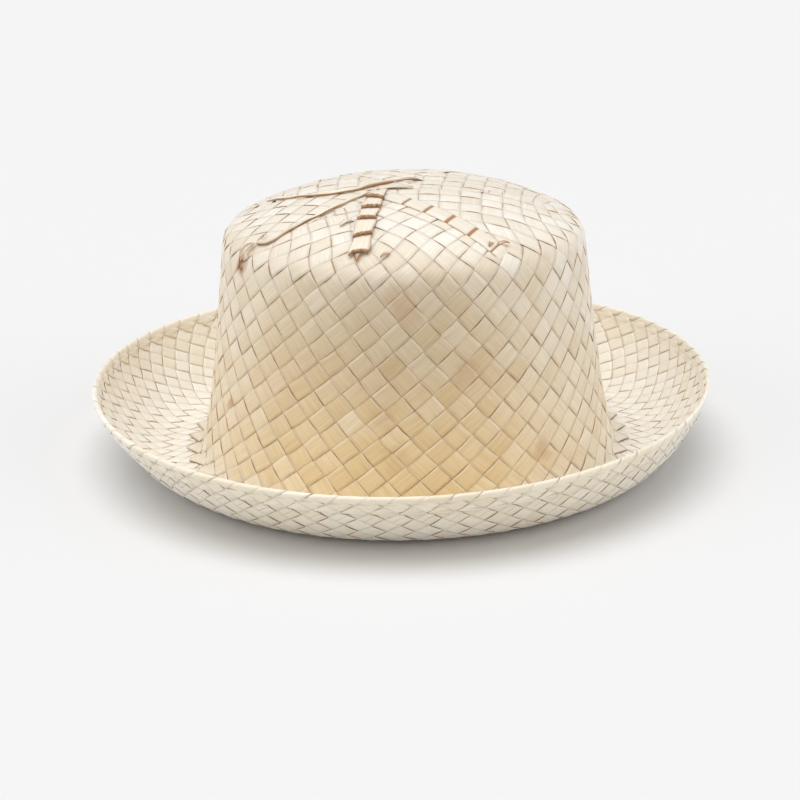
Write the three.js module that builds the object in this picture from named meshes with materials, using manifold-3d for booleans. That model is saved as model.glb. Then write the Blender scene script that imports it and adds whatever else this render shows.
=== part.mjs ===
// Palm straw hat: one layer of woven palm-leaf strips, with a tapered crown,
// a shallow domed tip pleated into gores, and a brim turned up all round to a rolled edge.
// Millimetres, +Z up. The hat rests on its brim at z = 0 and its front faces -Y.
import * as THREE from 'three';
import { mergeVertices } from 'three/addons/utils/BufferGeometryUtils.js';
import Module from 'manifold-3d';

// Plan: each ring of the hat is an oval, longer from front to back than across.
const OVAL = 1.1;                    // depth over width
const CROWN_SHIFT = 2.5;             // crown axis to the right of the brim's centre
const RING_STEPS = 72;
const GAP = 0.3;                     // clearance between pieces that touch

// Wall thicknesses of the woven straw.
const CROWN_WALL = 1.4;
const BRIM_WALL = 1.2;

// Crown side: half width across, at the shoulder and below it.
const SHOULDER_RADIUS = 77.4;
const SHOULDER_Z = 92.1;
const SIDE_TAPER = 0.105;            // widening per millimetre down the side
const FLARE = 3.84;                  // extra half width at the base
const FLARE_LENGTH = 18.3;           // height over which the flare fades
const FLARE_BASE_Z = 3.0;

// Places of the outline's points, as shares of the side's height and of the dome's radius.
const CROWN_BASE_Z = BRIM_WALL + GAP;
const SIDE_SHARES = [0, 0.1, 0.24, 0.5, 0.78, 1];
const SHOULDER_STEPS = 4;
const DOME_SHARES = [0.82, 0.6, 0.36, 0.16, 0];

// Crown top: a round shoulder, then a dome that is flattest in its middle.
const SHOULDER_ROUND = 10.2;
const DOME_RISE = 14.95;
const DOME_POWER = 2.47;

// Brim: a flat ring to rest on, then a curl up to the rim.
const BRIM_INNER_RADIUS = 89.3;
const REST_RADIUS = 103;             // outer edge of the flat ring
const CURL_START_HANDLE = 13;        // length of the curl's tangent at the flat ring
const RIM_RADIUS = 133.1;
const RIM_Z = 30.1;
const CURL_END_HANDLE = { out: 6.1, up: 15.1 };
const RIM_WAVE = 1.5;                // the rim is this much higher at the sides than its mean

// Rolled edge: the strip ends, folded back over the rim into a flattened bead.
const BEAD_DEPTH = 5.0;              // measured down the brim
const BEAD_THICKNESS = 2.2;
const BEAD_SIDES = 10;
const CURL_STEPS = 7;

// Pleats and gaps on the tip: places are in plan, from the crown's axis.
const LADDER = {
  width: 7.7,
  topWidth: 3.6,                      // width where the first fold starts
  lipLength: 0.5,
  low: 0.9,                          // thickness where a fold starts
  high: 2.3,                         // thickness at the lip of a fold
  lips: [
    { x: -8.2, y: -11.3 },
    { x: -11.5, y: -22.3 },
    { x: -13.1, y: -34.1 },
    { x: -14.7, y: -44.5 },
    { x: -16.2, y: -57.4 },
    { x: -17.5, y: -68.6 },
  ],
};
const FOLD_STEPS = 14;
const FOLD_SIDES = 8;
const FOLD_TIP = { share: 0.55, growth: 3 };   // thickness at the ends, and its growth inwards
const ROLLED_FOLDS = [
  {
    name: 'pleat_left',
    diameter: 2.2,
    route: [
      { x: -60.0, y: -40.5 },
      { x: -55.5, y: -44.2 },
      { x: -44.5, y: -39.0 },
      { x: -30.0, y: -30.0 },
      { x: -18.0, y: -18.5 },
      { x: -13.0, y: -13.0 },
    ],
  },
  {
    name: 'pleat_back_left',
    diameter: 2.0,
    route: [
      { x: -58.5, y: 12.0 },
      { x: -50.0, y: 2.5 },
      { x: -41.5, y: -3.5 },
      { x: -28.0, y: -9.5 },
      { x: -20.0, y: -8.0 },
      { x: -9.5, y: -0.5 },
      { x: -2.0, y: 4.5 },
      { x: 7.5, y: 7.5 },
    ],
  },
];
const SLOTS = {
  first: { x: 1.7, y: -27.4 },
  step: { x: 8.6, y: -8.4 },
  count: 5,
  length: 8.4,
  width: 2.2,
  turn: THREE.MathUtils.degToRad(55),
};
const SHOULDER_HOLE = { angle: THREE.MathUtils.degToRad(-150), height: 92, width: 3.4, length: 6.2 };
const CUT_DEPTH = 12;                // long enough to pass through the crown's wall

const STRAW = {
  crown: { color: 0xe9dcc2, roughness: 0.62, metalness: 0 },
  brim: { color: 0xeadcb8, roughness: 0.62, metalness: 0 },
  edge: { color: 0xefe3c6, roughness: 0.58, metalness: 0 },
  fold: { color: 0xd0ad7c, roughness: 0.7, metalness: 0 },
};

const wasm = await Module();
wasm.setup();

// Geometry with shared vertices and no flat or doubled triangles.
function weld(geometry) {
  const bare = geometry.clone();
  bare.deleteAttribute('normal');
  bare.deleteAttribute('uv');
  const merged = mergeVertices(bare, 1e-4);
  const kept = [];
  const index = merged.index.array;
  for (let i = 0; i < index.length; i += 3) {
    const [a, b, c] = [index[i], index[i + 1], index[i + 2]];
    if (a !== b && b !== c && c !== a) {
      kept.push(a, b, c);
    }
  }
  merged.setIndex(kept);
  return merged;
}

function toSolid(geometry) {
  const welded = weld(geometry);
  return new wasm.Manifold(new wasm.Mesh({
    numProp: 3,
    vertProperties: new Float32Array(welded.attributes.position.array),
    triVerts: new Uint32Array(welded.index.array),
  }));
}

function toGeometry(solid) {
  const mesh = solid.getMesh();
  const geometry = new THREE.BufferGeometry();
  geometry.setAttribute('position', new THREE.BufferAttribute(mesh.vertProperties, 3));
  geometry.setIndex(new THREE.BufferAttribute(mesh.triVerts, 1));
  geometry.computeVertexNormals();
  return geometry;
}

// Closed section of { r, z } carried round the crown's axis, then shaped in plan:
// every ring becomes an oval, and from the flat ring outwards the rim centres itself and waves.
function sweepRound(section) {
  const profile = section.map(({ r, z }) => new THREE.Vector2(r, z));
  const geometry = new THREE.LatheGeometry(profile, RING_STEPS);
  geometry.rotateX(Math.PI / 2);
  const position = geometry.attributes.position;
  for (let i = 0; i < position.count; i += 1) {
    const x = position.getX(i);
    const y = position.getY(i);
    const radius = Math.hypot(x, y);
    const angle = Math.atan2(y, x);
    const out = Math.max(0, (radius - REST_RADIUS) / (RIM_RADIUS - REST_RADIUS));
    const share = out * out;
    position.setXYZ(
      i,
      x + CROWN_SHIFT * (1 - share),
      y * OVAL,
      position.getZ(i) + RIM_WAVE * share * Math.cos(2 * angle),
    );
  }
  return geometry;
}

function sideRadius(z) {
  const flare = FLARE * Math.exp(-(z - FLARE_BASE_Z) / FLARE_LENGTH);
  return SHOULDER_RADIUS + SIDE_TAPER * (SHOULDER_Z - z) + flare;
}

// The shoulder's arc starts along the side and ends along the dome.
function shoulderArc() {
  const lean = Math.atan(SIDE_TAPER);
  const centre = {
    r: SHOULDER_RADIUS - SHOULDER_ROUND * Math.cos(lean),
    z: SHOULDER_Z - SHOULDER_ROUND * Math.sin(lean),
  };
  let domeSlope = 0.5;
  for (let pass = 0; pass < 20; pass += 1) {
    const edge = centre.r + SHOULDER_ROUND * Math.sin(domeSlope);
    domeSlope = Math.atan(DOME_POWER * DOME_RISE / edge);
  }
  return { centre, from: lean, to: Math.PI / 2 - domeSlope };
}

const arc = shoulderArc();
const DOME_RADIUS = arc.centre.r + SHOULDER_ROUND * Math.cos(arc.to);
const DOME_BASE_Z = arc.centre.z + SHOULDER_ROUND * Math.sin(arc.to);

// Outer face of the tip above a point in plan, counted from the crown's axis.
function tipHeight(x, y) {
  const r = Math.hypot(x, y / OVAL);
  if (r <= DOME_RADIUS) {
    return DOME_BASE_Z + DOME_RISE * (1 - (r / DOME_RADIUS) ** DOME_POWER);
  }
  const beyond = r - arc.centre.r;
  return arc.centre.z + Math.sqrt(SHOULDER_ROUND ** 2 - beyond ** 2);
}

// Crown outline from its base to the tip, inset from the outer face: level with it along
// the side, so that the base stays flat, and square to it over the shoulder and the dome.
function crownOutline(inset) {
  const points = [];
  for (const share of SIDE_SHARES) {
    const z = THREE.MathUtils.lerp(CROWN_BASE_Z, SHOULDER_Z, share);
    points.push({ r: sideRadius(z) - inset, z });
  }
  for (let i = 1; i <= SHOULDER_STEPS; i += 1) {
    const angle = THREE.MathUtils.lerp(arc.from, arc.to, i / SHOULDER_STEPS);
    points.push({
      r: arc.centre.r + (SHOULDER_ROUND - inset) * Math.cos(angle),
      z: arc.centre.z + (SHOULDER_ROUND - inset) * Math.sin(angle),
    });
  }
  for (const share of DOME_SHARES) {
    const slope = DOME_POWER * DOME_RISE / DOME_RADIUS * share ** (DOME_POWER - 1);
    const normalLength = Math.hypot(slope, 1);
    points.push({
      r: DOME_RADIUS * share - inset * slope / normalLength,
      z: DOME_BASE_Z + DOME_RISE * (1 - share ** DOME_POWER) - inset / normalLength,
    });
  }
  return points;
}

function slotCutter(index) {
  const x = SLOTS.first.x + index * SLOTS.step.x;
  const y = SLOTS.first.y + index * SLOTS.step.y;
  const cutter = new THREE.BoxGeometry(SLOTS.length, SLOTS.width, CUT_DEPTH);
  cutter.rotateZ(SLOTS.turn);
  cutter.translate(x + CROWN_SHIFT, y, tipHeight(x, y));
  return toSolid(cutter);
}

function shoulderHoleCutter() {
  const { angle, height, width, length } = SHOULDER_HOLE;
  const radius = sideRadius(height);
  const cutter = new THREE.BoxGeometry(CUT_DEPTH, width, length);
  cutter.rotateZ(angle);
  cutter.translate(radius * Math.cos(angle) + CROWN_SHIFT, radius * Math.sin(angle) * OVAL, height);
  return toSolid(cutter);
}

function crown() {
  const outer = crownOutline(0);
  const inner = crownOutline(CROWN_WALL).reverse();
  let shell = toSolid(sweepRound([...outer, ...inner, outer[0]]));
  for (let i = 0; i < SLOTS.count; i += 1) {
    shell = shell.subtract(slotCutter(i));
  }
  shell = shell.subtract(shoulderHoleCutter());
  return toGeometry(shell);
}

// Underside of the brim in section, from the flat ring's outer edge to the rim.
const curl = new THREE.CubicBezierCurve(
  new THREE.Vector2(REST_RADIUS, 0),
  new THREE.Vector2(REST_RADIUS + CURL_START_HANDLE, 0),
  new THREE.Vector2(RIM_RADIUS - CURL_END_HANDLE.out, RIM_Z - CURL_END_HANDLE.up),
  new THREE.Vector2(RIM_RADIUS, RIM_Z),
);
const CURL_LENGTH = curl.getLength();

// Point on the curl at a distance from its start, raised off the underside along its normal.
function curlPoint(distance, raise) {
  const share = distance / CURL_LENGTH;
  const point = curl.getPointAt(share);
  const tangent = curl.getTangentAt(share);
  return { r: point.x - tangent.y * raise, z: point.y + tangent.x * raise };
}

function brim() {
  const end = CURL_LENGTH - BEAD_DEPTH - GAP;
  const under = [{ r: BRIM_INNER_RADIUS, z: 0 }];
  const upper = [{ r: BRIM_INNER_RADIUS, z: BRIM_WALL }];
  for (let i = 0; i <= CURL_STEPS; i += 1) {
    const distance = end * i / CURL_STEPS;
    under.push(curlPoint(distance, 0));
    upper.push(curlPoint(distance, BRIM_WALL));
  }
  return weld(sweepRound([...under, ...upper.reverse(), under[0]]));
}

function brimEdge() {
  const middle = CURL_LENGTH - BEAD_DEPTH / 2;
  const section = [];
  for (let i = 0; i <= BEAD_SIDES; i += 1) {
    const angle = 2 * Math.PI * i / BEAD_SIDES;
    const along = BEAD_DEPTH / 2 * Math.cos(angle);
    const across = BEAD_THICKNESS / 2 * Math.sin(angle);
    section.push(curlPoint(middle + along, BRIM_WALL / 2 + across));
  }
  return weld(sweepRound(section));
}

// Closed band of straight cross-sections, each a ring of corners, with flat ends.
function loft(rings) {
  const corners = rings[0].length;
  const geometry = new THREE.BufferGeometry();
  const positions = rings.flat().flatMap((p) => [p.x, p.y, p.z]);
  const index = [];
  for (let i = 0; i + 1 < rings.length; i += 1) {
    for (let j = 0; j < corners; j += 1) {
      const a = i * corners + j;
      const b = i * corners + (j + 1) % corners;
      index.push(a, b, a + corners, b, b + corners, a + corners);
    }
  }
  const last = (rings.length - 1) * corners;
  for (let j = 1; j + 1 < corners; j += 1) {
    index.push(0, j + 1, j);
    index.push(last, last + j, last + j + 1);
  }
  geometry.setAttribute('position', new THREE.Float32BufferAttribute(positions, 3));
  geometry.setIndex(index);
  geometry.computeVertexNormals();
  return geometry;
}

// Ring of four corners across a fold: left and right, seated on the tip and raised by height.
function foldRing(place, across, width, height) {
  const half = width / 2;
  const ring = [];
  for (const [side, level] of [[-1, 0], [1, 0], [1, height], [-1, height]]) {
    const x = place.x + across.x * half * side;
    const y = place.y + across.y * half * side;
    const z = tipHeight(x, y) + GAP + level;
    ring.push(new THREE.Vector3(x + CROWN_SHIFT, y, z));
  }
  return ring;
}

// Ladder pleat: strips folded one over the next, each rising to a lip and dropping behind it.
function ladderPleat() {
  const rings = [];
  for (let i = 0; i + 1 < LADDER.lips.length; i += 1) {
    const from = new THREE.Vector2(LADDER.lips[i].x, LADDER.lips[i].y);
    const to = new THREE.Vector2(LADDER.lips[i + 1].x, LADDER.lips[i + 1].y);
    const along = to.clone().sub(from);
    const length = along.length();
    along.normalize();
    const across = { x: -along.y, y: along.x };
    const stations = [
      { at: LADDER.lipLength, height: LADDER.low },
      { at: length / 2, height: (LADDER.low + LADDER.high) / 2 },
      { at: length, height: LADDER.high },
    ];
    for (const { at, height } of stations) {
      const width = i === 0 ? THREE.MathUtils.lerp(LADDER.topWidth, LADDER.width, at / length) : LADDER.width;
      rings.push(foldRing(from.clone().addScaledVector(along, at), across, width, height));
    }
  }
  return loft(rings);
}

// Rolled fold: a thin roll of straw lying along a route over the tip.
function rolledFold({ diameter, route }) {
  const plan = new THREE.SplineCurve(route.map(({ x, y }) => new THREE.Vector2(x, y)));
  const rings = [];
  for (let i = 0; i <= FOLD_STEPS; i += 1) {
    const share = i / FOLD_STEPS;
    const place = plan.getPointAt(share);
    const along = plan.getTangentAt(share);
    const taper = Math.min(1, FOLD_TIP.share + FOLD_TIP.growth * Math.min(share, 1 - share));
    const radius = diameter / 2 * taper;
    const middle = tipHeight(place.x, place.y) + GAP + diameter / 2;
    const ring = [];
    for (let j = 0; j < FOLD_SIDES; j += 1) {
      const angle = 2 * Math.PI * j / FOLD_SIDES;
      const offset = radius * Math.cos(angle);
      ring.push(new THREE.Vector3(
        place.x - along.y * offset + CROWN_SHIFT,
        place.y + along.x * offset,
        middle + radius * Math.sin(angle),
      ));
    }
    rings.push(ring);
  }
  return loft(rings);
}

function piece(name, geometry, finish) {
  const mesh = new THREE.Mesh(geometry, new THREE.MeshStandardMaterial(finish));
  mesh.name = name;
  return mesh;
}

const hat = new THREE.Group();
hat.add(piece('crown', crown(), STRAW.crown));
hat.add(piece('brim', brim(), STRAW.brim));
hat.add(piece('brim_edge', brimEdge(), STRAW.edge));
hat.add(piece('pleat_ladder', ladderPleat(), STRAW.crown));
for (const fold of ROLLED_FOLDS) {
  hat.add(piece(fold.name, rolledFold(fold), STRAW.fold));
}

export default hat;
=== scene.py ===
"""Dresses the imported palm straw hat: its plaited crown, brim and rim, the folds on its tip, and a studio."""

import logging
import math
from dataclasses import dataclass, field
from enum import Enum

import bpy
import numpy as np
from mathutils import Euler, Matrix, Vector

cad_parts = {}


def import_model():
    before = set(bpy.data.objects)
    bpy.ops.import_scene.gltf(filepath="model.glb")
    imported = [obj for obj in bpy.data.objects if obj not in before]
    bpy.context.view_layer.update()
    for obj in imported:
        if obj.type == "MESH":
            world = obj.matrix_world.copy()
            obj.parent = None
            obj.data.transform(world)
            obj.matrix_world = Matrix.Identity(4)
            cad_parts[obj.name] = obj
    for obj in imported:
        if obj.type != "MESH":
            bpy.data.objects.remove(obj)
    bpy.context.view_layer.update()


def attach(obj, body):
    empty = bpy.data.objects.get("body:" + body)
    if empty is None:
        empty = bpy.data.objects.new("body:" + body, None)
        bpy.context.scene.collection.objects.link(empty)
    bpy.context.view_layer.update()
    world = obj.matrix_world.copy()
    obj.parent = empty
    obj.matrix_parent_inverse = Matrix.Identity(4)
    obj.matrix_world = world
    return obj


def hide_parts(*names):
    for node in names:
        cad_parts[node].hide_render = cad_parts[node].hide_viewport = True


MM = 0.001
IMAGE_SIDE = 800
LOCATE_ROUNDS = 14
FAMILY_STEP = 57.0
# Multipliers that scramble a strip's number, a cell's number and their sine into a drawn number.
SCRAMBLE = (12.9898, 78.233, 43758.5453)
SCRAMBLE_FAMILY = 71.0
log = logging.getLogger("palm_straw_hat")


class FibreStart(Enum):
    """Where the fibre numbers of the straws that are not in a plait start, one range for each kind."""

    LADDER = 200.0
    TWIST = 300.0
    STRAND = 320.0
    STRAP = 400.0
    FOLD_END = 500.0
    SPLINTER = 600.0
    BACKING = 610.0
    TONGUE = 700.0


def smooth_step(value: np.ndarray) -> np.ndarray:
    """Eases from 0 to 1: three times the square less twice the cube of the value held between 0 and 1.

    Args:
        value: Where along the step, 0 at its start and 1 at its end.

    Returns:
        The eased value.
    """
    held = np.clip(value, 0.0, 1.0)
    return held * held * (3.0 - 2.0 * held)


def layered(like: np.ndarray, *values: np.ndarray | float) -> np.ndarray:
    """Stacks values on a new last axis, each spread over the shape of like."""
    return np.stack([value + 0.0 * like for value in values], -1)


def link(name: str, data: bpy.types.ID) -> bpy.types.Object:
    """Puts data into the scene as a new object.

    Args:
        name: Its name.
        data: What it shows.

    Returns:
        The new object, at the origin.
    """
    made = bpy.data.objects.new(name, data)
    bpy.context.scene.collection.objects.link(made)
    return made


def new_material(name: str) -> tuple[bpy.types.Material, bpy.types.Node]:
    """Makes a material with nodes and gives it with its shader.

    Args:
        name: Its name.

    Returns:
        The material and its Principled BSDF.
    """
    material = bpy.data.materials.new(name)
    material.use_nodes = True
    return material, material.node_tree.nodes["Principled BSDF"]


class Side(Enum):
    """Which side of a profile, walked from its start to its end, its faces look to."""

    RIGHT = 1
    LEFT = -1


@dataclass
class Profile:
    """A line in the plane through the hat's axis: radius and height in millimetres by length along it."""

    radius: np.ndarray
    height: np.ndarray
    side: Side
    length: np.ndarray = field(init=False)
    out_radius: np.ndarray = field(init=False)
    out_height: np.ndarray = field(init=False)

    def __post_init__(self) -> None:
        """Works out the length along the line and its unit normal, the tangent turned by a quarter."""
        steps = np.hypot(np.diff(self.radius), np.diff(self.height))
        self.length = np.concatenate([[0.0], np.cumsum(steps)])
        across = np.gradient(self.radius, self.length)
        up = np.gradient(self.height, self.length)
        size = np.hypot(across, up)
        self.out_radius = self.side.value * up / size
        self.out_height = -self.side.value * across / size

    def at(self, length: np.ndarray, lift: np.ndarray) -> tuple[np.ndarray, np.ndarray]:
        """Radius and height at a length along the line, moved along the normal by lift.

        Args:
            length: Length from the start of the line, in millimetres.
            lift: Distance along the normal, in millimetres.

        Returns:
            The radius and the height.
        """
        radius = np.interp(length, self.length, self.radius)
        height = np.interp(length, self.length, self.height)
        out_radius = np.interp(length, self.length, self.out_radius)
        out_height = np.interp(length, self.length, self.out_height)
        return radius + lift * out_radius, height + lift * out_height


@dataclass(frozen=True)
class HatForm:
    """The hat's own sizes in millimetres, as its solids have them, and the surfaces that they give."""

    oval: float = 1.1
    crown_shift: float = 2.5
    crown_foot: tuple[float, float] = (3.3, 1.2)
    foot_flat: float = 5.6
    crown_wall: float = 1.4
    brim_wall: float = 1.2
    shoulder_radius: float = 77.4
    shoulder_height: float = 92.1
    side_taper: float = 0.105
    flare: float = 3.84
    flare_length: float = 18.3
    flare_base: float = 3.0
    shoulder_round: float = 10.2
    dome_rise: float = 14.95
    dome_power: float = 2.47
    brim_inner_radius: float = 89.3
    rest_radius: float = 103.0
    curl: tuple[tuple[float, float], ...] = ((103.0, 0.0), (116.0, 0.0), (127.0, 15.0), (133.1, 30.1))
    rim_wave: float = 1.5
    wave_span: float = 30.1
    roll_radius: float = 0.85
    wrap_length: float = 9.5
    rim_rise_run: float = 6.0
    tuck_run: float = 2.5
    tuck_depth: float = 0.7

    def crown_profile(self) -> Profile:
        """The crown's middle line from the crease to the top of the tip.

        The side's radius is a straight taper and a flare that dies away upwards as an exponential. An arc
        turns its foot out over the brim, where it runs flat for foot_flat, and another rounds the shoulder.
        The tip's height falls with the radius to the power of dome_power.

        Returns:
            The profile, half a wall inside the crown's outer face.
        """
        foot_height, foot_round = self.crown_foot
        height = np.linspace(foot_height, self.shoulder_height, 160)
        flare = self.flare * np.exp(-(height - self.flare_base) / self.flare_length)
        radius = self.shoulder_radius + self.side_taper * (self.shoulder_height - height) + flare
        foot = np.linspace(math.pi / 2, 0.25, 9)
        flat = radius[0] + foot_round + np.linspace(self.foot_flat, 0.0, 9)[:-1]
        low = np.full(8, foot_height - foot_round)
        height = np.concatenate([low, foot_height - foot_round * np.sin(foot), height])
        radius = np.concatenate([flat, radius[0] + foot_round * (1.0 - np.cos(foot)), radius])
        start = math.atan(self.side_taper)
        centre_radius = self.shoulder_radius - self.shoulder_round * math.cos(start)
        centre_height = self.shoulder_height - self.shoulder_round * math.sin(start)
        slope, dome_radius = 0.5, self.shoulder_radius
        for _ in range(30):
            dome_radius = centre_radius + self.shoulder_round * math.sin(slope)
            slope = math.atan(self.dome_power * self.dome_rise / dome_radius)
        turn = np.linspace(start, math.pi / 2 - slope, 40)[1:]
        arc_radius = centre_radius + self.shoulder_round * np.cos(turn)
        arc_height = centre_height + self.shoulder_round * np.sin(turn)
        share = np.linspace(1.0, 0.0, 120)[1:]
        dome = arc_height[-1] + self.dome_rise * (1.0 - share**self.dome_power)
        outer = Profile(
            np.concatenate([radius, arc_radius, arc_radius[-1] * share]),
            np.concatenate([height, arc_height, dome]),
            Side.RIGHT,
        )
        inward = np.full(outer.length.shape, -self.crown_wall / 2)
        middle_radius, middle_height = outer.at(outer.length, inward)
        return Profile(np.maximum(middle_radius, 0.0), middle_height, Side.RIGHT)

    def brim_profile(self) -> Profile:
        """The brim's middle line: flat from the crease, up the curl, over the rim and down its outer face.

        The curl is a cubic curve through four points. At the rim the line turns over through a half circle of
        roll_radius and runs back down outside the brim for wrap_length, tucked in at its end.

        Returns:
            The profile, whose faces look up on the brim and outwards on the wrap.
        """
        share = np.linspace(0.0, 1.0, 161)[:, None]
        points = np.array(self.curl)
        curve = (
            (1 - share) ** 3 * points[0]
            + 3 * (1 - share) ** 2 * share * points[1]
            + 3 * (1 - share) * share**2 * points[2]
            + share**3 * points[3]
        )
        ring = np.linspace(self.brim_inner_radius + 0.5, self.rest_radius, 30)[:-1]
        under = np.vstack([np.column_stack([ring, np.zeros(29)]), curve])
        base = Profile(under[:, 0], under[:, 1], Side.LEFT)
        middle = self.brim_wall / 2
        end = base.length[-1] - self.roll_radius
        inner = np.linspace(0.0, end, 220)
        rise = smooth_step((inner - end + self.rim_rise_run) / self.rim_rise_run) * self.roll_radius
        inner_radius, inner_height = base.at(inner, middle + rise - 0.1 * rise)
        turn = np.linspace(0.0, math.pi, 15)[1:-1]
        over = base.at(end + self.roll_radius * np.sin(turn), middle + 0.9 * self.roll_radius * np.cos(turn))
        back = np.linspace(end, end - self.wrap_length, 60)
        tuck = smooth_step((end - self.wrap_length + self.tuck_run - back) / self.tuck_run)
        outer = base.at(back, middle - 0.9 * self.roll_radius + self.tuck_depth * tuck)
        return Profile(
            np.concatenate([inner_radius, over[0], outer[0]]),
            np.concatenate([inner_height, over[1], outer[1]]),
            Side.LEFT,
        )

    def on_crown(self, radius: np.ndarray, height: np.ndarray, angle: np.ndarray) -> np.ndarray:
        """Carries a radius, height and angle onto the oval crown: x is stretched by one, y by oval.

        Args:
            radius: Distance from the crown's axis before the oval stretch, in millimetres.
            height: Height above the floor, in millimetres.
            angle: Angle round the axis, in radians.

        Returns:
            Points in metres, one more axis than the inputs.
        """
        x = self.crown_shift + radius * np.cos(angle)
        y = self.oval * radius * np.sin(angle)
        return np.stack([x, y, height + 0.0 * angle], -1) * MM

    def on_brim(self, radius: np.ndarray, height: np.ndarray, angle: np.ndarray) -> np.ndarray:
        """Carries a radius, height and angle onto the brim, whose rim is centred and gently waved.

        The crown's shift fades, and a wave of rim_wave times the cosine of twice the angle grows, with the
        square of the distance past the part that rests.

        Args:
            radius: Distance from the axis before the oval stretch, in millimetres.
            height: Height above the floor, in millimetres.
            angle: Angle round the axis, in radians.

        Returns:
            Points in metres, one more axis than the inputs.
        """
        share = (np.maximum(radius - self.rest_radius, 0.0) / self.wave_span) ** 2
        x = self.crown_shift * (1.0 - share) + radius * np.cos(angle)
        y = self.oval * radius * np.sin(angle)
        z = height + self.rim_wave * share * np.cos(2.0 * angle)
        return np.stack([x, y, z], -1) * MM


@dataclass
class StrawMesh:
    """Gathers curved sheets of straw and writes them as one mesh with its fibre directions and tones."""

    name: str
    points: list[np.ndarray] = field(default_factory=list)
    quads: list[np.ndarray] = field(default_factory=list)
    fibres: list[np.ndarray] = field(default_factory=list)
    straws: list[np.ndarray] = field(default_factory=list)
    count: int = 0

    def add(
        self,
        sheet: np.ndarray,
        fibre: np.ndarray,
        straw: np.ndarray,
        outward: np.ndarray,
        closed: bool = False,
    ) -> None:
        """Adds a sheet of points in rows and columns, its faces turned to look outward.

        Args:
            sheet: Points in metres, rows by columns by 3.
            fibre: Length along the straw in millimetres, place across it from -1 to 1, and its own number.
            straw: Tone, age, and stain from real stains and painted shade, each from 0 to 1.
            outward: A vector that the middle of the sheet looks along.
            closed: Whether the last column joins the first, as on a tube.
        """
        rows, columns = sheet.shape[:2]
        index = self.count + np.arange(rows * columns).reshape(rows, columns)
        if closed:
            index = np.concatenate([index, index[:, :1]], 1)
        quads = np.stack([index[:-1, :-1], index[:-1, 1:], index[1:, 1:], index[1:, :-1]], -1).reshape(-1, 4)
        row, column = rows // 2, max(columns // 2, 1)
        along = sheet[min(row + 1, rows - 1), column] - sheet[row - 1, column]
        across = sheet[row, column] - sheet[row, column - 1]
        if np.dot(np.cross(across, along), outward) < 0:
            quads = quads[:, ::-1]
        self.points.append(sheet.reshape(-1, 3))
        self.quads.append(quads)
        self.fibres.append(np.broadcast_to(fibre, sheet.shape).reshape(-1, 3))
        self.straws.append(np.broadcast_to(straw, sheet.shape).reshape(-1, 3))
        self.count += rows * columns

    def build(self, holes: list[tuple[np.ndarray, float]] | None = None) -> bpy.types.Object:
        """Writes the mesh.

        Args:
            holes: Places in metres and radii in metres inside which faces are left out.

        Returns:
            The new object, at the origin.
        """
        points = np.concatenate(self.points)
        quads = np.concatenate(self.quads)
        straws = np.concatenate(self.straws)
        centres = points[quads].mean(1)
        for place, radius in holes or []:
            away = np.linalg.norm(points - place, axis=1) / radius
            straws[:, 2] = np.maximum(straws[:, 2], smooth_step((1.7 - away) / 0.7))
            keep = np.linalg.norm(centres - place, axis=1) > radius
            quads, centres = quads[keep], centres[keep]
        used, inverse = np.unique(quads, return_inverse=True)
        quads = inverse.reshape(-1, 4)
        mesh = bpy.data.meshes.new(self.name)
        mesh.from_pydata(points[used].tolist(), [], quads.tolist())
        mesh.validate()
        mesh.polygons.foreach_set("use_smooth", np.ones(len(mesh.polygons), bool))
        for title, values in (("fibre", np.concatenate(self.fibres)), ("straw", straws)):
            layer = mesh.attributes.new(title, "FLOAT_VECTOR", "POINT")
            layer.data.foreach_set("vector", values[used].astype(np.float32).ravel())
        mesh.update()
        return link(self.name, mesh)


def thicken(piece: bpy.types.Object, thickness: float) -> None:
    """Gives a sheet its wall, half to each side.

    Args:
        piece: The object.
        thickness: The wall in millimetres.
    """
    solid = piece.modifiers.new("wall", "SOLIDIFY")
    solid.thickness = thickness * MM
    solid.offset = 0.0
    solid.use_rim = True
    # the walls take the second material: brown painted shade of the gaps between strips
    solid.material_offset_rim = 1


ACROSS = np.array([-1.0, -0.62, 0.62, 1.0])


@dataclass(frozen=True)
class StripStyle:
    """How a palm strip is cut and lies: sizes in millimetres, shares of its pitch and of a cell."""

    thickness: float = 0.26
    crimp: float = 0.31
    uneven: float = 0.28
    edge_drop: float = 0.05
    widest: float = 1.015
    narrowest: float = 0.975
    wander: float = 0.012
    tilt: float = 0.035
    bends: tuple[float, ...] = (0.0, 0.07, 0.38, 0.62, 0.93)
    sharpness: float = 0.05
    # painted shade: how brown a strip is painted where it dives under the crossing one
    dive_shade: float = 0.62


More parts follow.
